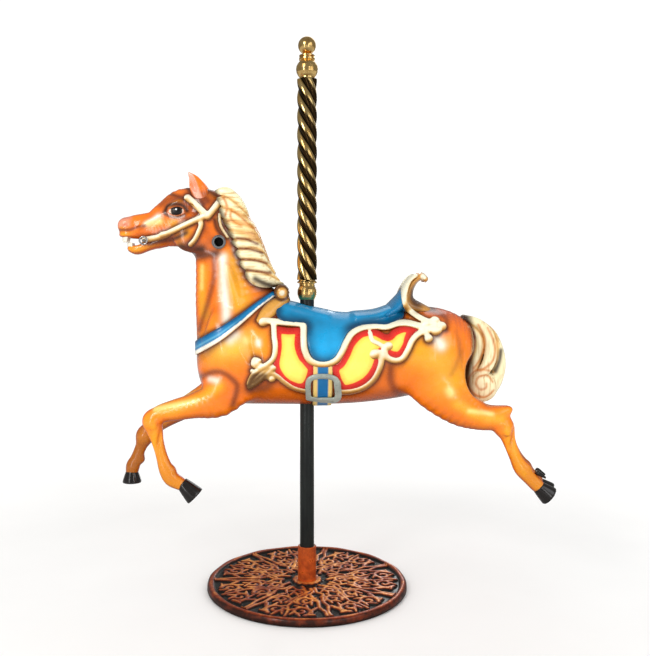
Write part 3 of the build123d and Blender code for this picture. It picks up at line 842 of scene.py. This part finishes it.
def make_eye(word, side):
    """A glossy painted eyeball: dark iris with a painted highlight in it, white corners and dark lids."""
    rings, spokes = 37, 64
    turns = np.arange(spokes) * 2 * math.pi / spokes
    polar, turn = np.meshgrid(np.linspace(0, math.pi, rings), turns, indexing="ij")
    dx = (EYE_LONG * np.sin(polar) * np.cos(turn)).ravel()
    dz = (EYE_TALL * np.sin(polar) * np.sin(turn)).ravel()
    out = side * (EYE_OUT + EYE_DEEP * np.cos(polar)).ravel()
    points = np.stack([EYE_X + dx, out, EYE_Z + dz], 1)
    eye = make_object(f"eye_{word}_ball", points, ring_faces(rings, spokes)[:, ::side], "horse")
    ball = np.hypot(dx, dz)
    lids = np.where(dz > 0, dz / 8.5, -dz / 11) + (dx / EYE_LONG) ** 2
    colour = mix(lin(8, 6, 6), lin(30, 18, 12), step_up(ball, 8, 11))
    colour = mix(colour, lin(255, 222, 196), step_up(ball, 14.5, 16.5))
    colour = mix(colour, lin(30, 14, 8), step_up(lids, 0.86, 1.0))
    # painted highlight in the iris
    colour = mix(colour, lin(255, 255, 255), step_up(-np.hypot(dx + 1, dz - 4), -3.0, -1.4))
    paint(eye, "paint", colour)
    give(eye, enamel(f"eye_{word}_paint", roughness=0.3, coat=0.15, mottle=0.02))
    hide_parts(f"eye_{word}")


for word, side in SIDES.items():
    make_ear(word, side)
    make_eye(word, side)


# ---------------- saddle, cloths and trim
def mouldings(lines, lift, over, low_y=10):
    """Round mouldings on both sides of a form, along side-view lines: a radius, then points."""
    field = GRID.empty()
    for radius, *line in lines:
        flat = sheet(line_distance(drawn_in(line, over)))
        bead = np.sqrt(flat ** 2 + ((over - lift) * 1.45) ** 2) - radius
        field = soft_min(field, np.maximum(bead, low_y - np.abs(Y)), 3)
    return field


def layer(outline, thick, soft):
    """A sheet of a given thickness over the skin, within a side-view outline, with softened edges."""
    return soft_max(soft_max(bare - thick, sheet(outline), soft), -(bare + 5), 0.5)


cantle_field = limb_field([
    (208, 0, 732, 14, 88), (236, 0, 750, 20, 80), (260, 0, 776, 20, 66), (272, 0, 802, 15, 54),
    (288, 0, 824, 12, 47), (304, 0, 832, 12, 43), (315, 0, 825, 10, 41),
])
limb_field([(270, 0, 752, 26, 66), (306, 0, 742, 18, 58), (342, 0, 728, 12, 46), (364, 0, 716, 7, 34)],
           cantle_field, 14)
blob(cantle_field, (304, 0, 807), (8, 80, 7), 0, 4, carve=True)
saddled = soft_min(bare, cantle_field, 10)

SEAT = [
    (-82, 776), (-84, 742), (-80, 722), (-66, 710), (-40, 706), (-8, 703), (0, 694), (0, 660), (4, 636),
    (14, 614), (30, 603), (52, 602), (72, 612), (86, 632), (98, 660), (112, 682), (140, 697), (176, 702),
    (214, 701), (246, 714), (262, 730), (256, 790), (200, 800), (40, 800),
]
SWELLINGS = (
    [(-66, 0, 752, 16, 50), (-34, 0, 744, 20, 62), (10, 0, 734, 18, 70), (50, 0, 724, 16, 70)],
    [(130, 0, 722, 16, 78), (180, 0, 728, 16, 82), (222, 0, 742, 16, 82)],
)
FRONT_PANEL = [
    (-88, 700), (-50, 694), (-16, 692), (-16, 650), (-8, 622), (10, 600), (20, 584), (10, 548), (-8, 530),
    (-36, 532), (-66, 548), (-86, 574), (-92, 600), (-86, 640), (-88, 680),
]
REAR_PANEL = [
    (64, 590), (84, 600), (98, 622), (110, 650), (126, 672), (150, 688), (185, 690), (216, 676), (232, 690),
    (262, 700), (302, 692), (284, 670), (272, 636), (252, 614), (226, 614), (204, 624), (196, 596),
    (180, 566), (156, 544), (126, 530), (96, 526), (78, 546),
]
blue_enamel = enamel("saddle_blue_paint", roughness=0.30, coat=0.3, mottle=0.14)
seat_region = region(drawn_in(SEAT, saddled))
seat_field = layer(seat_region, thick=8, soft=5)
for swelling in SWELLINGS:
    seat_field = soft_min(seat_field, limb_field(swelling), 14)
seat_field = np.maximum(seat_field, SEAT_HOLE - np.hypot(X, Y))
seat, p = piece("saddle_seat", seat_field, "saddle_blue", blue_enamel, "saddle")
edge = np.abs(on_sheet(seat_region, p))
swell = np.hypot((p[:, 0] - 60) / 60, (p[:, 2] - 660) / 40)
# painted shade: darker blue towards the seat's outline
colour = mix(lin(0, 140, 194), lin(0, 62, 98), step_up(-edge, -28, -3) * 0.95)
# painted highlight: lighter blue on the swell of the flap
paint(seat, "paint", mix(colour, lin(10, 176, 240), step_up(-swell, -1.4, -0.2) * 0.85))


def cloth_material():
    """Red panels with yellow centres, the edge between them held by a distance attribute."""
    m = material("cloth_panel_paint")
    inner = m.attribute("inner")
    wobble = m.span(m.noise(60, 2), 0, 1, -1.0, 1.0)
    ragged = m.add("Math", inner, wobble, operation="ADD").outputs[0]
    # painted shade: the red darkens towards the outline and the yellow towards the red border
    red = m.mixed(m.span(m.attribute("rim"), -14, -2, 0, 1), lin(232, 44, 28), lin(190, 28, 20))
    yellow = m.mixed(m.span(inner, -14, -1, 0, 1), lin(255, 245, 106), lin(255, 208, 76))
    panel = m.mixed(m.span(ragged, -0.9, 0.9, 1, 0), red, yellow)
    cloud = m.ramp(m.noise(18, 5), (0.3, (0.86,) * 3), (0.7, (1.04,) * 3))
    return m.surface(m.mixed(1.0, panel, cloud, "MULTIPLY"), (m.noise(55, 3), 0.22, 0.34),
                     (m.noise(240, 2), 0.10, 0.0006), Coat_Weight=0.5, Coat_Roughness=0.12)


RED_BORDER = 17  # how far inside the panels' outline the yellow begins
panels = np.minimum(region(drawn_in(FRONT_PANEL, bare)), region(drawn_in(REAR_PANEL, bare)))
cloth_field = layer(panels, thick=3.6, soft=2.5)
cloth_paint = cloth_material()
for word, side in SIDES.items():
    half = np.maximum(cloth_field, 4 - side * Y)
    cloth, p = piece(f"cloth_panels_{word}", half, "cloth_red", cloth_paint, f"saddle_cloth_{word}")
    paint(cloth, "inner", on_sheet(panels + RED_BORDER, p))
    paint(cloth, "rim", on_sheet(panels, p))

# Half width, then side-view points
TRIM = (
    (9, (-9, 702), (-9, 664), (-6, 634), (6, 608), (28, 597), (56, 597), (79, 607), (95, 630), (107, 656),
     (123, 680), (150, 695), (184, 699), (214, 697), (244, 706), (274, 706), (304, 698), (332, 690),
     (354, 688)),  # around the seat
    (8.5, (-112, 713), (-70, 709), (-10, 704)),  # along the top, ahead of it
    (7.5, (-90, 706), (-88, 670), (-85, 640), (-90, 612), (-108, 594), (-128, 586)),  # down the front
    (5, (-128, 586), (-146, 594), (-142, 610), (-127, 606)),  # the front curl
    (7, (-108, 590), (-132, 578), (-148, 562), (-156, 542)),  # the three front leaves
    (6.5, (-92, 584), (-112, 566), (-132, 548), (-154, 534)),
    (5.5, (-100, 588), (-122, 570), (-144, 550)),
    (6.5, (-108, 560), (-98, 572), (-80, 564), (-58, 546), (-34, 532), (4, 522)),  # under the front panel
    # under the rear panel
    (8, (82, 522), (116, 523), (150, 533), (178, 554), (194, 582), (200, 606), (192, 628)),
    # its rear lobe
    (8, (208, 634), (216, 614), (238, 606), (258, 612), (272, 634), (284, 660), (302, 678), (330, 690)),
    # up to the cantle
    (8, (290, 834), (273, 822), (265, 798), (262, 774), (267, 752), (286, 733), (314, 716), (344, 704)),
    (6.5, (170, 680), (176, 660), (194, 650), (210, 640)),  # the scroll inside the rear panel
    (7, (312, 688), (322, 676), (328, 664)),  # the drop at the rear
)
KNOBS = (
    (-133, 598, 13), (-148, 578, 6), (182, 622, 13), (220, 643, 12), (344, 710, 14), (362, 697, 13),
    (346, 684, 13), (328, 664, 11), (320, 700, 13), (-118, 708, 13), (-90, 586, 9), (-94, 558, 10),
)
trim_field = mouldings(TRIM, 2.0, saddled)
for x, z, r in drawn_in(KNOBS, saddled):
    both(trim_field, x, half_width(saddled, x, z) + 2, z, (r, r * 0.8, r), 0, 4)


def trim_colour(p, field):
    """Cream on the faces that look up and forward, gold painted shade below and brown painted shade where it
    meets the body.
    """
    normal = unit(GRID.slope(field, p))
    upward = normal[:, 2] * 0.85 - normal[:, 0] * 0.35
    # painted shade: darker gold on the faces that look down
    gold = mix(lin(150, 92, 36), lin(232, 182, 96), step_up(upward, -0.7, 0.0))
    low_down = step_up(-p[:, 2], -570, -540)
    colour = mix(gold, lin(255, 249, 222), step_up(upward, -0.25, 0.35) * (1 - 0.35 * low_down))
    # painted shade where the moulding meets the body
    colour = mix(colour, lin(120, 70, 26), step_up(-GRID.sample(saddled, p), -3.4, -0.8) * 0.85)
    # the front leaves: painted shade in dark brown on the faces that look down, gold above
    leaf = step_up(-p[:, 0], 92, 108) * step_up(-p[:, 2], -592, -578)
    return mix(colour, mix(lin(92, 58, 24), lin(232, 178, 84), step_up(upward, -0.2, 0.6)), leaf * 0.9)


cream_enamel = enamel("trim_cream_paint", mottle=0.12)
for word, side in SIDES.items():
    half = np.maximum(trim_field, 6 - side * Y)
    trim, p = piece(f"trim_scrolls_{word}", half, "trim_cream", cream_enamel, f"saddle_trim_{word}")
    paint(trim, "paint", trim_colour(p, trim_field))

# ---------------- cantle and pommel
cantle, p = piece("cantle_scroll_form", cantle_field, "trim_cream", cream_enamel, "cantle_scroll")
x, z = p[:, 0], p[:, 2]
ahead = np.interp(z, [700, 740, 770, 800, 836], [262, 258, 252, 262, 286]) - x
# painted shade: dark brown on the back of the cantle's rise
gold = mix(lin(214, 150, 62), lin(92, 56, 26), step_up(-np.hypot((x - 288) / 30, (z - 775) / 46), -1.1, -0.3))
colour = mix(gold, lin(0, 122, 176), step_up(ahead, -2, 2))
paint(cantle, "paint", mix(colour, CREAM, step_up(-np.hypot(x - 308, z - 831), -10, -6)))

pommel_field = limb_field([(-68, -30, 790, 19, 19), (-68, 0, 793, 19, 19), (-68, 30, 790, 19, 19)])
for side in SIDES.values():
    blob(pommel_field, (-68, side * 34, 790), (20, 12, 20), 0, 4)
    limb_field([(-60, side * 30, 768, 14, 16), (-84, side * 50, 752, 21, 15), (-106, side * 74, 732, 19, 12),
                (-124, side * 90, 716, 9, 7)], pommel_field, 6)
pommel, p = piece("pommel_scroll_form", pommel_field, "pommel_gold",
                  enamel("pommel_gold_paint", roughness=0.22, mottle=0.16), "pommel_scroll")
ring = np.hypot(p[:, 0] + 66, p[:, 2] - 788)
sideways = np.abs(unit(GRID.slope(pommel_field, p))[:, 1])
# painted shade: darker gold where the scroll turns from the side
colour = mix(lin(236, 170, 72), lin(120, 68, 26), step_up(-sideways, -0.95, -0.4) * 0.8)
colour = mix(colour, lin(96, 56, 22), step_up(ring, 10, 17) * step_up(-ring, -26, -20))
# painted highlight in cream in the middle of the ball
paint(pommel, "paint", mix(colour, CREAM, step_up(-ring, -9, -5)))

# ---------------- straps, stirrups and bridle
STRAP = drawn_in([(-340, 622), (-300, 640), (-235, 676), (-180, 716), (-130, 757), (-92, 784)], bare)
strap_field = layer(line_distance(STRAP) - 8 - 9 * step_up(-XS, 90, 270), thick=5, soft=3)
strap_field = np.maximum(strap_field, X + 84)
strap, p = piece("breast_strap_form", strap_field, "saddle_blue", blue_enamel, "breast_strap")
below = np.interp(p[:, 0], [s[0] for s in STRAP], [s[1] for s in STRAP]) - p[:, 2]
below /= 10 + 11 * step_up(-p[:, 0], 90, 270)  # now -1 to 1 across the strap
# painted highlight along the middle of the strap
shine = step_up(-np.abs(below + 0.05), -0.22, -0.05) * step_up(-p[:, 0], 160, 200)
# painted shade: darker navy towards the strap's top
colour = mix(lin(0, 126, 186), lin(4, 66, 108), step_up(-below, 0.3, 0.9) * 0.8)
colour = mix(colour, lin(120, 200, 230), shine * 0.6)
colour = mix(colour, lin(255, 252, 236), step_up(below, 0.28, 0.40))
paint(strap, "paint", mix(colour, lin(226, 160, 70), step_up(below, 0.78, 0.95) * 0.8))

GIRTH_X = 40
girth_field = layer(np.maximum(np.abs(XS - GIRTH_X) - 25, ZS - 604), thick=4.5, soft=3)
girth_field = np.maximum(girth_field, POLE_HOLE - np.hypot(X, Y))
girth, p = piece("girth_strap_form", girth_field, "saddle_blue", blue_enamel, "girth_strap")
stripe = step_up(np.abs(p[:, 0] - GIRTH_X), 12.5, 15)
paint(girth, "paint", mix(lin(0, 110, 170), lin(240, 204, 120), stripe))

IRON = [(4, 506), (3, 546), (14, 560), (42, 564), (70, 560), (81, 546), (80, 506), (42, 502), (4, 506)]
iron_field = soft_min(mouldings([(7.5, *IRON)], 5.5, bare), mouldings([(9, *IRON[5:8])], 6.5, bare), 4)
silver = enamel("stirrup_silver_paint", flat=lin(178, 186, 176), roughness=0.28, mottle=0.3, metallic=0.2)
piece("stirrup_irons", iron_field, "stirrup_silver", silver, "stirrups")

BRIDLE = (
    (8.5, (-438, 930), (-400, 938), (-360, 955), (-330, 970), (-300, 984), (-272, 996)),
    (9.5, (-322, 1045), (-300, 1025), (-268, 994)), (9.5, (-268, 994), (-254, 1010), (-238, 1030)),
    (7, (-288, 988), (-286, 970), (-293, 950), (-302, 932), (-314, 918)),
    (4.5, (-236, 1000), (-232, 968), (-214, 938)),
)
bridle_field = mouldings(BRIDLE, 0.5, bare, low_y=8)
for x, z in drawn_in([(-386, 945)], bare):
    both(bridle_field, x, half_width(bare, x, z), z, (13, 9, 9), 0, 4)
bridle, p = piece("bridle_straps", bridle_field, "trim_cream", cream_enamel, "bridle")
paint(bridle, "paint", trim_colour(p, bridle_field))


def make_teeth(jaw, tip, z, spread, height, lean):
    """A curved row of separate rounded teeth."""
    field = GRID.empty()
    for angle in np.linspace(-64, 64, 8):
        a = math.radians(angle)
        x = tip + 20 - 20 * math.cos(a)
        y = spread * math.sin(a)
        limb_field([(x, y, z + height / 2, 3.6, 3.6), (x - lean, y, z - height / 2, 3.2, 3.4)], field, 1.0, 1)
    ivory = enamel(f"{jaw}_teeth_row_paint", flat=lin(250, 244, 228), roughness=0.2, mottle=0.08)
    piece(f"{jaw}_teeth_row", field, "trim_cream", ivory, f"{jaw}_teeth")


make_teeth("upper", -494, 933, 18, 12, 1)
make_teeth("lower", -482, 916, 14, 9, -1)

# everything laid on the skin, for the painted shade where it touches
attached = np.minimum.reduce([trim_field, cantle_field, pommel_field, strap_field, bridle_field, mane_field,
                              tail_field, cloth_field, seat_field, girth_field])
paint(body_skin, "paint", skin_colour(skin_points, attached))

# ---------------- the cast base
SECTORS = 7
BORE_R, FIELD_R, LIP_R, RIM_R = 25, 250, 257, 266.8
SKIRT_Z, GROUND_Z, RIM_Z = 3.2, 11.5, 17
RELIEF_RISE, LIP_RISE, COLLAR_RISE = 5.5, 7.5, 5.5
# Distance from the pole, angle off the sector's middle, radius and hand of each scroll
SCROLLS = (
    (208, 0.15, 27, 1), (208, -0.15, 27, -1), (146, 0.21, 24, -1), (146, -0.21, 24, 1), (92, 0.0, 22, 1),
)
# Stems on both sides of a sector's middle: the width at the start and at the end, then points
STEMS = (
    (8, 7, (110, 36), (138, 60), (172, 70), (196, 90), (230, 106)), (8, 5, (176, 64), (196, 56), (214, 62)),
    (8, 5, (62, 24), (84, 36), (104, 30)),
)
MIDDLE_STEM = ((54, 0), (90, 18), (120, 8), (150, 0), (180, -8), (206, 0), (240, 0))


def around(r, angle):
    """The x and y of points at radii and angles."""
    return np.stack([r * np.cos(angle), r * np.sin(angle)], -1)


def sector_strokes():
    """The strokes of one sector of the scrollwork, as (width at the start, width at the end, points)."""
    strokes = [(8, 6, MIDDLE_STEM)]
    t = np.linspace(0, 1, 26)
    for r, off, big, flip in SCROLLS:
        middle = around(r, off)
        start = 0.6 * flip
        angle = start + flip * 1.35 * 2 * math.pi * t
        radius = big * (1 - t) + 5 * t
        strokes.append((8.5, 6.5, middle + around(radius, angle)))
        for k in range(7):  # the leaves that lean off the scroll
            a = start + flip * (k * 0.86 + 0.3)
            lean = a + 0.35 * flip
            inner, outer = big - 1.6 * k, big + 13 - 1.6 * k
            strokes.append((8.0, 4.5, (middle + around(inner, a), middle + around(outer, lean))))
    for start, end, *points in STEMS:
        for side in SIDES.values():
            strokes.append((start, end, np.array(points) * (1, side)))
    return strokes


def relief(radius, angle):
    """How far up the relief's strokes each point of the disc is, 0 on the ground and 1 on their crests."""
    sector = 2 * math.pi / SECTORS
    folded = (angle + sector / 2) % sector - sector / 2
    fx, fy = np.moveaxis(around(radius, folded), -1, 0)
    lift = np.zeros_like(radius)
    for start, end, points in sector_strokes():
        points = np.array(points, float)
        count = len(points) - 1
        for i, (a, b) in enumerate(zip(points[:-1], points[1:])):
            u, off = beside(fx, fy, a, b)
            width = start + (end - start) * (i + u) / count
            lift = np.maximum(lift, np.sqrt(np.clip(1 - (off / width) ** 2, 0, 1)))
    return lift * (radius < FIELD_R)


def make_base():
    field_rings, spokes = ((120, 720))
    rings = np.concatenate([np.linspace(BORE_R, FIELD_R - 1, field_rings),
                            np.linspace(FIELD_R, RIM_R - 0.3, 14)])
    turns = np.linspace(0, 2 * math.pi, spokes, endpoint=False)
    radius, angle = np.meshgrid(rings, turns, indexing="ij")
    lift = relief(radius, angle)
    lip = np.clip(1 - ((radius - LIP_R) / 9.5) ** 2, 0, 1) ** 0.5
    collar = step_up(-radius, -44, -36)
    ground = GROUND_Z + np.sin(angle * 2 * SECTORS) * np.sin(radius / 9)
    z = ground + RELIEF_RISE * lift + LIP_RISE * lip + COLLAR_RISE * collar
    z = np.where(radius > 264, np.minimum(z, RIM_Z), z)
    tone = np.maximum(np.maximum(lift, lip * 0.9), collar)
    tone = np.where(radius > 262, np.maximum(tone, 0.66), tone)
    rows = [np.column_stack([around(radius, angle).reshape(-1, 2), z.ravel()])]
    for r in (RIM_R, BORE_R):  # the skirt down to the underside, and the bore's foot
        rows.append(np.column_stack([around(r, turns), np.full(spokes, SKIRT_Z)]))
    faces = ring_faces(len(rings) + 2, spokes, closed=True)
    base = make_object("cast_base", np.vstack(rows), faces, "stand")
    paint(base, "lift", np.concatenate([tone.ravel(), np.full(2 * spokes, 0.6)]))
    give(base, base_material())
    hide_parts("base_plate")


def base_material():
    """Copper rubbed back on the high relief over a dark green-black patina, with painted highlights in bright
    gold on the crests.
    """
    m = material("cast_base_patina")
    wear_and_highlight = m.mixed(0.45, m.attribute("lift"), m.noise(26, 6, 0.75))
    # the top of the ramp is a painted highlight on the crests
    colour = m.ramp(wear_and_highlight, (0.40, (0.006, 0.007, 0.005)), (0.58, (0.05, 0.010, 0.004)),
                    (0.72, (0.36, 0.05, 0.007)), (0.83, (1.0, 0.42, 0.08)))
    return m.surface(colour, (m.noise(60, 4), 0.30, 0.52), (m.noise(150, 5), 0.35, 0.0015),
                     Metallic=0.45, Coat_Weight=0.3, Coat_Roughness=0.15)


make_base()


# ---------------- materials for the CAD nodes that stay
def metal(name, bright, dark, roughness, scale, metallic=1.0, squash=1.0, over=None):
    """Metal with a fine mottled grain; over changes its colour and how metallic it is."""
    m = material(name)
    grain = m.grain((scale, scale, scale * squash), Detail=5.0, Roughness=0.6)
    colour = m.ramp(grain, (0.34, dark), (0.62, bright))
    if over:
        colour, metallic = over(m, colour)
    return m.surface(colour, (grain, roughness + 0.12, roughness - 0.03), (grain, 0.12, 0.0005),
                     Metallic=metallic)


def shaded_brass(m, polished):
    """Painted shade on the brass: brown-black where it lies close to the pole or looks down."""
    x, y, _ = m.add("SeparateXYZ", m.place()).outputs
    flat = m.add("CombineXYZ", x, y)
    reach = m.add("VectorMath", flat.outputs[0], operation="LENGTH").outputs["Value"]
    upward = m.add("SeparateXYZ", m.place("Normal")).outputs[2]
    under = m.mixed(m.span(upward, -0.10, 0.06, 0, 1), (0.045, 0.026, 0.010), polished)
    return m.mixed(m.span(reach, 0.0212, 0.0238, 0, 1), (0.012, 0.008, 0.005), under), 1.0


def shaded_bore(m, polished):
    """Black painted shadow inside, bright metal on the turned ends that show at the cheeks."""
    across = m.add("SeparateXYZ", m.place()).outputs[1]
    out = m.add("Math", across, operation="ABSOLUTE").outputs[0]
    ends = m.span(out, 0.0532, 0.0536, 0, 1)
    return m.mixed(ends, (0.004, 0.004, 0.005), polished), ends


BRIGHT, DULL = (0.62, 0.62, 0.63), (0.40, 0.40, 0.41)
steel = metal("plated_steel", BRIGHT, DULL, 0.28, 80)
brass = metal("turned_brass", (1.0, 0.70, 0.28), (0.74, 0.44, 0.14), 0.15, 70)
grommet = metal("worn_grommet", (0.36, 0.36, 0.37), (0.14, 0.14, 0.14), 0.35, 90)
nylon = enamel("nylon_bush", flat=lin(226, 222, 206), roughness=0.5, coat=0.0)
plywood = metal("plywood_former", (0.52, 0.34, 0.18), (0.34, 0.20, 0.09), 0.6, 20, 0.0, 8)
CAD_LOOKS = {
    # the twisted brass carries painted shade in its grooves and on its lower flanks
    "brass_sleeve": metal("twisted_brass", (1.0, 0.74, 0.32), (0.86, 0.52, 0.16), 0.15, 60, over=shaded_brass),
    "lower_ferrule": brass, "upper_ferrule": brass, "finial_ball": brass,
    "steel_pole": metal("gloss_black_pole", (0.016, 0.020, 0.018), (0.006, 0.008, 0.008), 0.25, 40, 0.2, 0.2),
    "pole_socket": metal("copper_socket", (0.80, 0.15, 0.025), (0.42, 0.06, 0.012), 0.28, 45, 0.45),
    "bit_rings": metal("ring_steel", (0.75, 0.75, 0.76), (0.5, 0.5, 0.5), 0.2, 90),
    # the grip socket: black painted shadow in its bore, bright metal at the ends
    "handle_tube": metal("hand_grip_socket", BRIGHT, DULL, 0.28, 80, over=shaded_bore),
    "handle_grommets": grommet, "bit_bar": grommet,
    "base_pad": enamel("felt_and_rubber", flat=lin(38, 38, 36), roughness=0.8, coat=0.0, mottle=0.3),
    "socket_bush": nylon, "thrust_washer": nylon,
    "front_former": plywood, "rear_former": plywood,
}
for node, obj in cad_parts.items():
    if not obj.hide_render:
        give(obj, CAD_LOOKS.get(node, steel))

# ---------------- floor, light and camera, in metres
FLOOR_HALF, FLOOR_Z = 9, -0.0005
# Place, width, height, power and tint of each softbox
SOFTBOXES = (
    ((-1.8, -2.6, 2.6), 1.2, 1.2, 30, (1, 0.97, 0.92)), ((2.2, -1.8, 1.9), 1.6, 1.6, 10, (0.94, 0.97, 1)),
    ((0.5, 2.2, 2.8), 1.8, 1.8, 10, (1, 1, 1)), ((-1.5, -2.2, 1.0), 0.25, 2.2, 9, (1, 1, 1)),
    ((1.1, -2.5, 1.0), 0.18, 2.2, 6, (1, 1, 1)), ((0.6, 2.6, 1.0), 0.25, 2.2, 7, (1, 1, 1)),
)


def place(name, data, location):
    obj = bpy.data.objects.new(name, data)
    obj.location = location
    bpy.context.collection.objects.link(obj)
    return obj


def make_floor():
    """A pale matt floor that fades into the white behind it through a painted glow rising with distance, and
    is dim in reflections.
    """
    corners = [(x * FLOOR_HALF, y * FLOOR_HALF, FLOOR_Z) for x, y in ((-1, -1), (1, -1), (1, 1), (-1, 1))]
    mesh = bpy.data.meshes.new("floor")
    mesh.from_pydata(corners, [], [(0, 1, 2, 3)])
    floor = place("floor", mesh, (0, 0, 0))
    m = material("floor_paint")
    tone = m.ramp(m.noise(2), (0.3, (0.85, 0.855, 0.86)), (0.7, (0.88, 0.885, 0.89)))
    colour = m.mixed(m.add("LightPath").outputs["Is Glossy Ray"], tone, (0.22, 0.22, 0.22))
    away = m.add("VectorMath", m.place(), operation="LENGTH").outputs["Value"]
    # painted glow: emission rising with distance from the middle
    m.surface(colour, None, Emission_Strength=m.span(away, 0.9, 3.2, 0.03, 0.35), Emission_Color=(1, 1, 1, 1),
              Roughness=0.9)
    give(floor, m.owner)


def make_studio():
    world = bpy.data.worlds.new("studio")
    m = Nodes(world)
    rays = m.add("LightPath").outputs
    dim = m.span(rays["Is Glossy Ray"], 0, 1, 0.88, 0.22)  # the far studio walls are dim in reflections
    seen = m.span(rays["Is Camera Ray"], 0, 1, 0, 1.1)  # and white behind the object
    m.tree.links.new(dim, seen.node.inputs["To Min"])
    background = m.tree.nodes["Background"].inputs
    background["Color"].default_value = (1, 0.99, 0.97, 1)
    m.tree.links.new(seen, background["Strength"])
    bpy.context.scene.world = world
    bpy.context.scene.view_settings.view_transform = "Standard"
    for location, width, height, power, tint in SOFTBOXES:
        light = bpy.data.lights.new("softbox", "AREA")
        light.shape = "RECTANGLE"
        light.size, light.size_y = width, height
        light.energy = power
        light.color = tint
        aim = Vector((0, 0, 0.75)) - Vector(location)
        place("softbox", light, location).rotation_euler = aim.to_track_quat("-Z", "Y").to_euler()


def make_camera():
    camera = bpy.data.cameras.new("camera")
    camera.sensor_width = 36
    camera.lens = 42.1
    camera.shift_x = 0.0274
    camera.shift_y = -0.0564
    eye = place("camera", camera, (0, -EYE_RANGE / 1000, EYE_HEIGHT / 1000))
    eye.rotation_euler = (math.pi / 2, 0, 0)
    bpy.context.scene.camera = eye


make_floor()
make_studio()
make_camera()
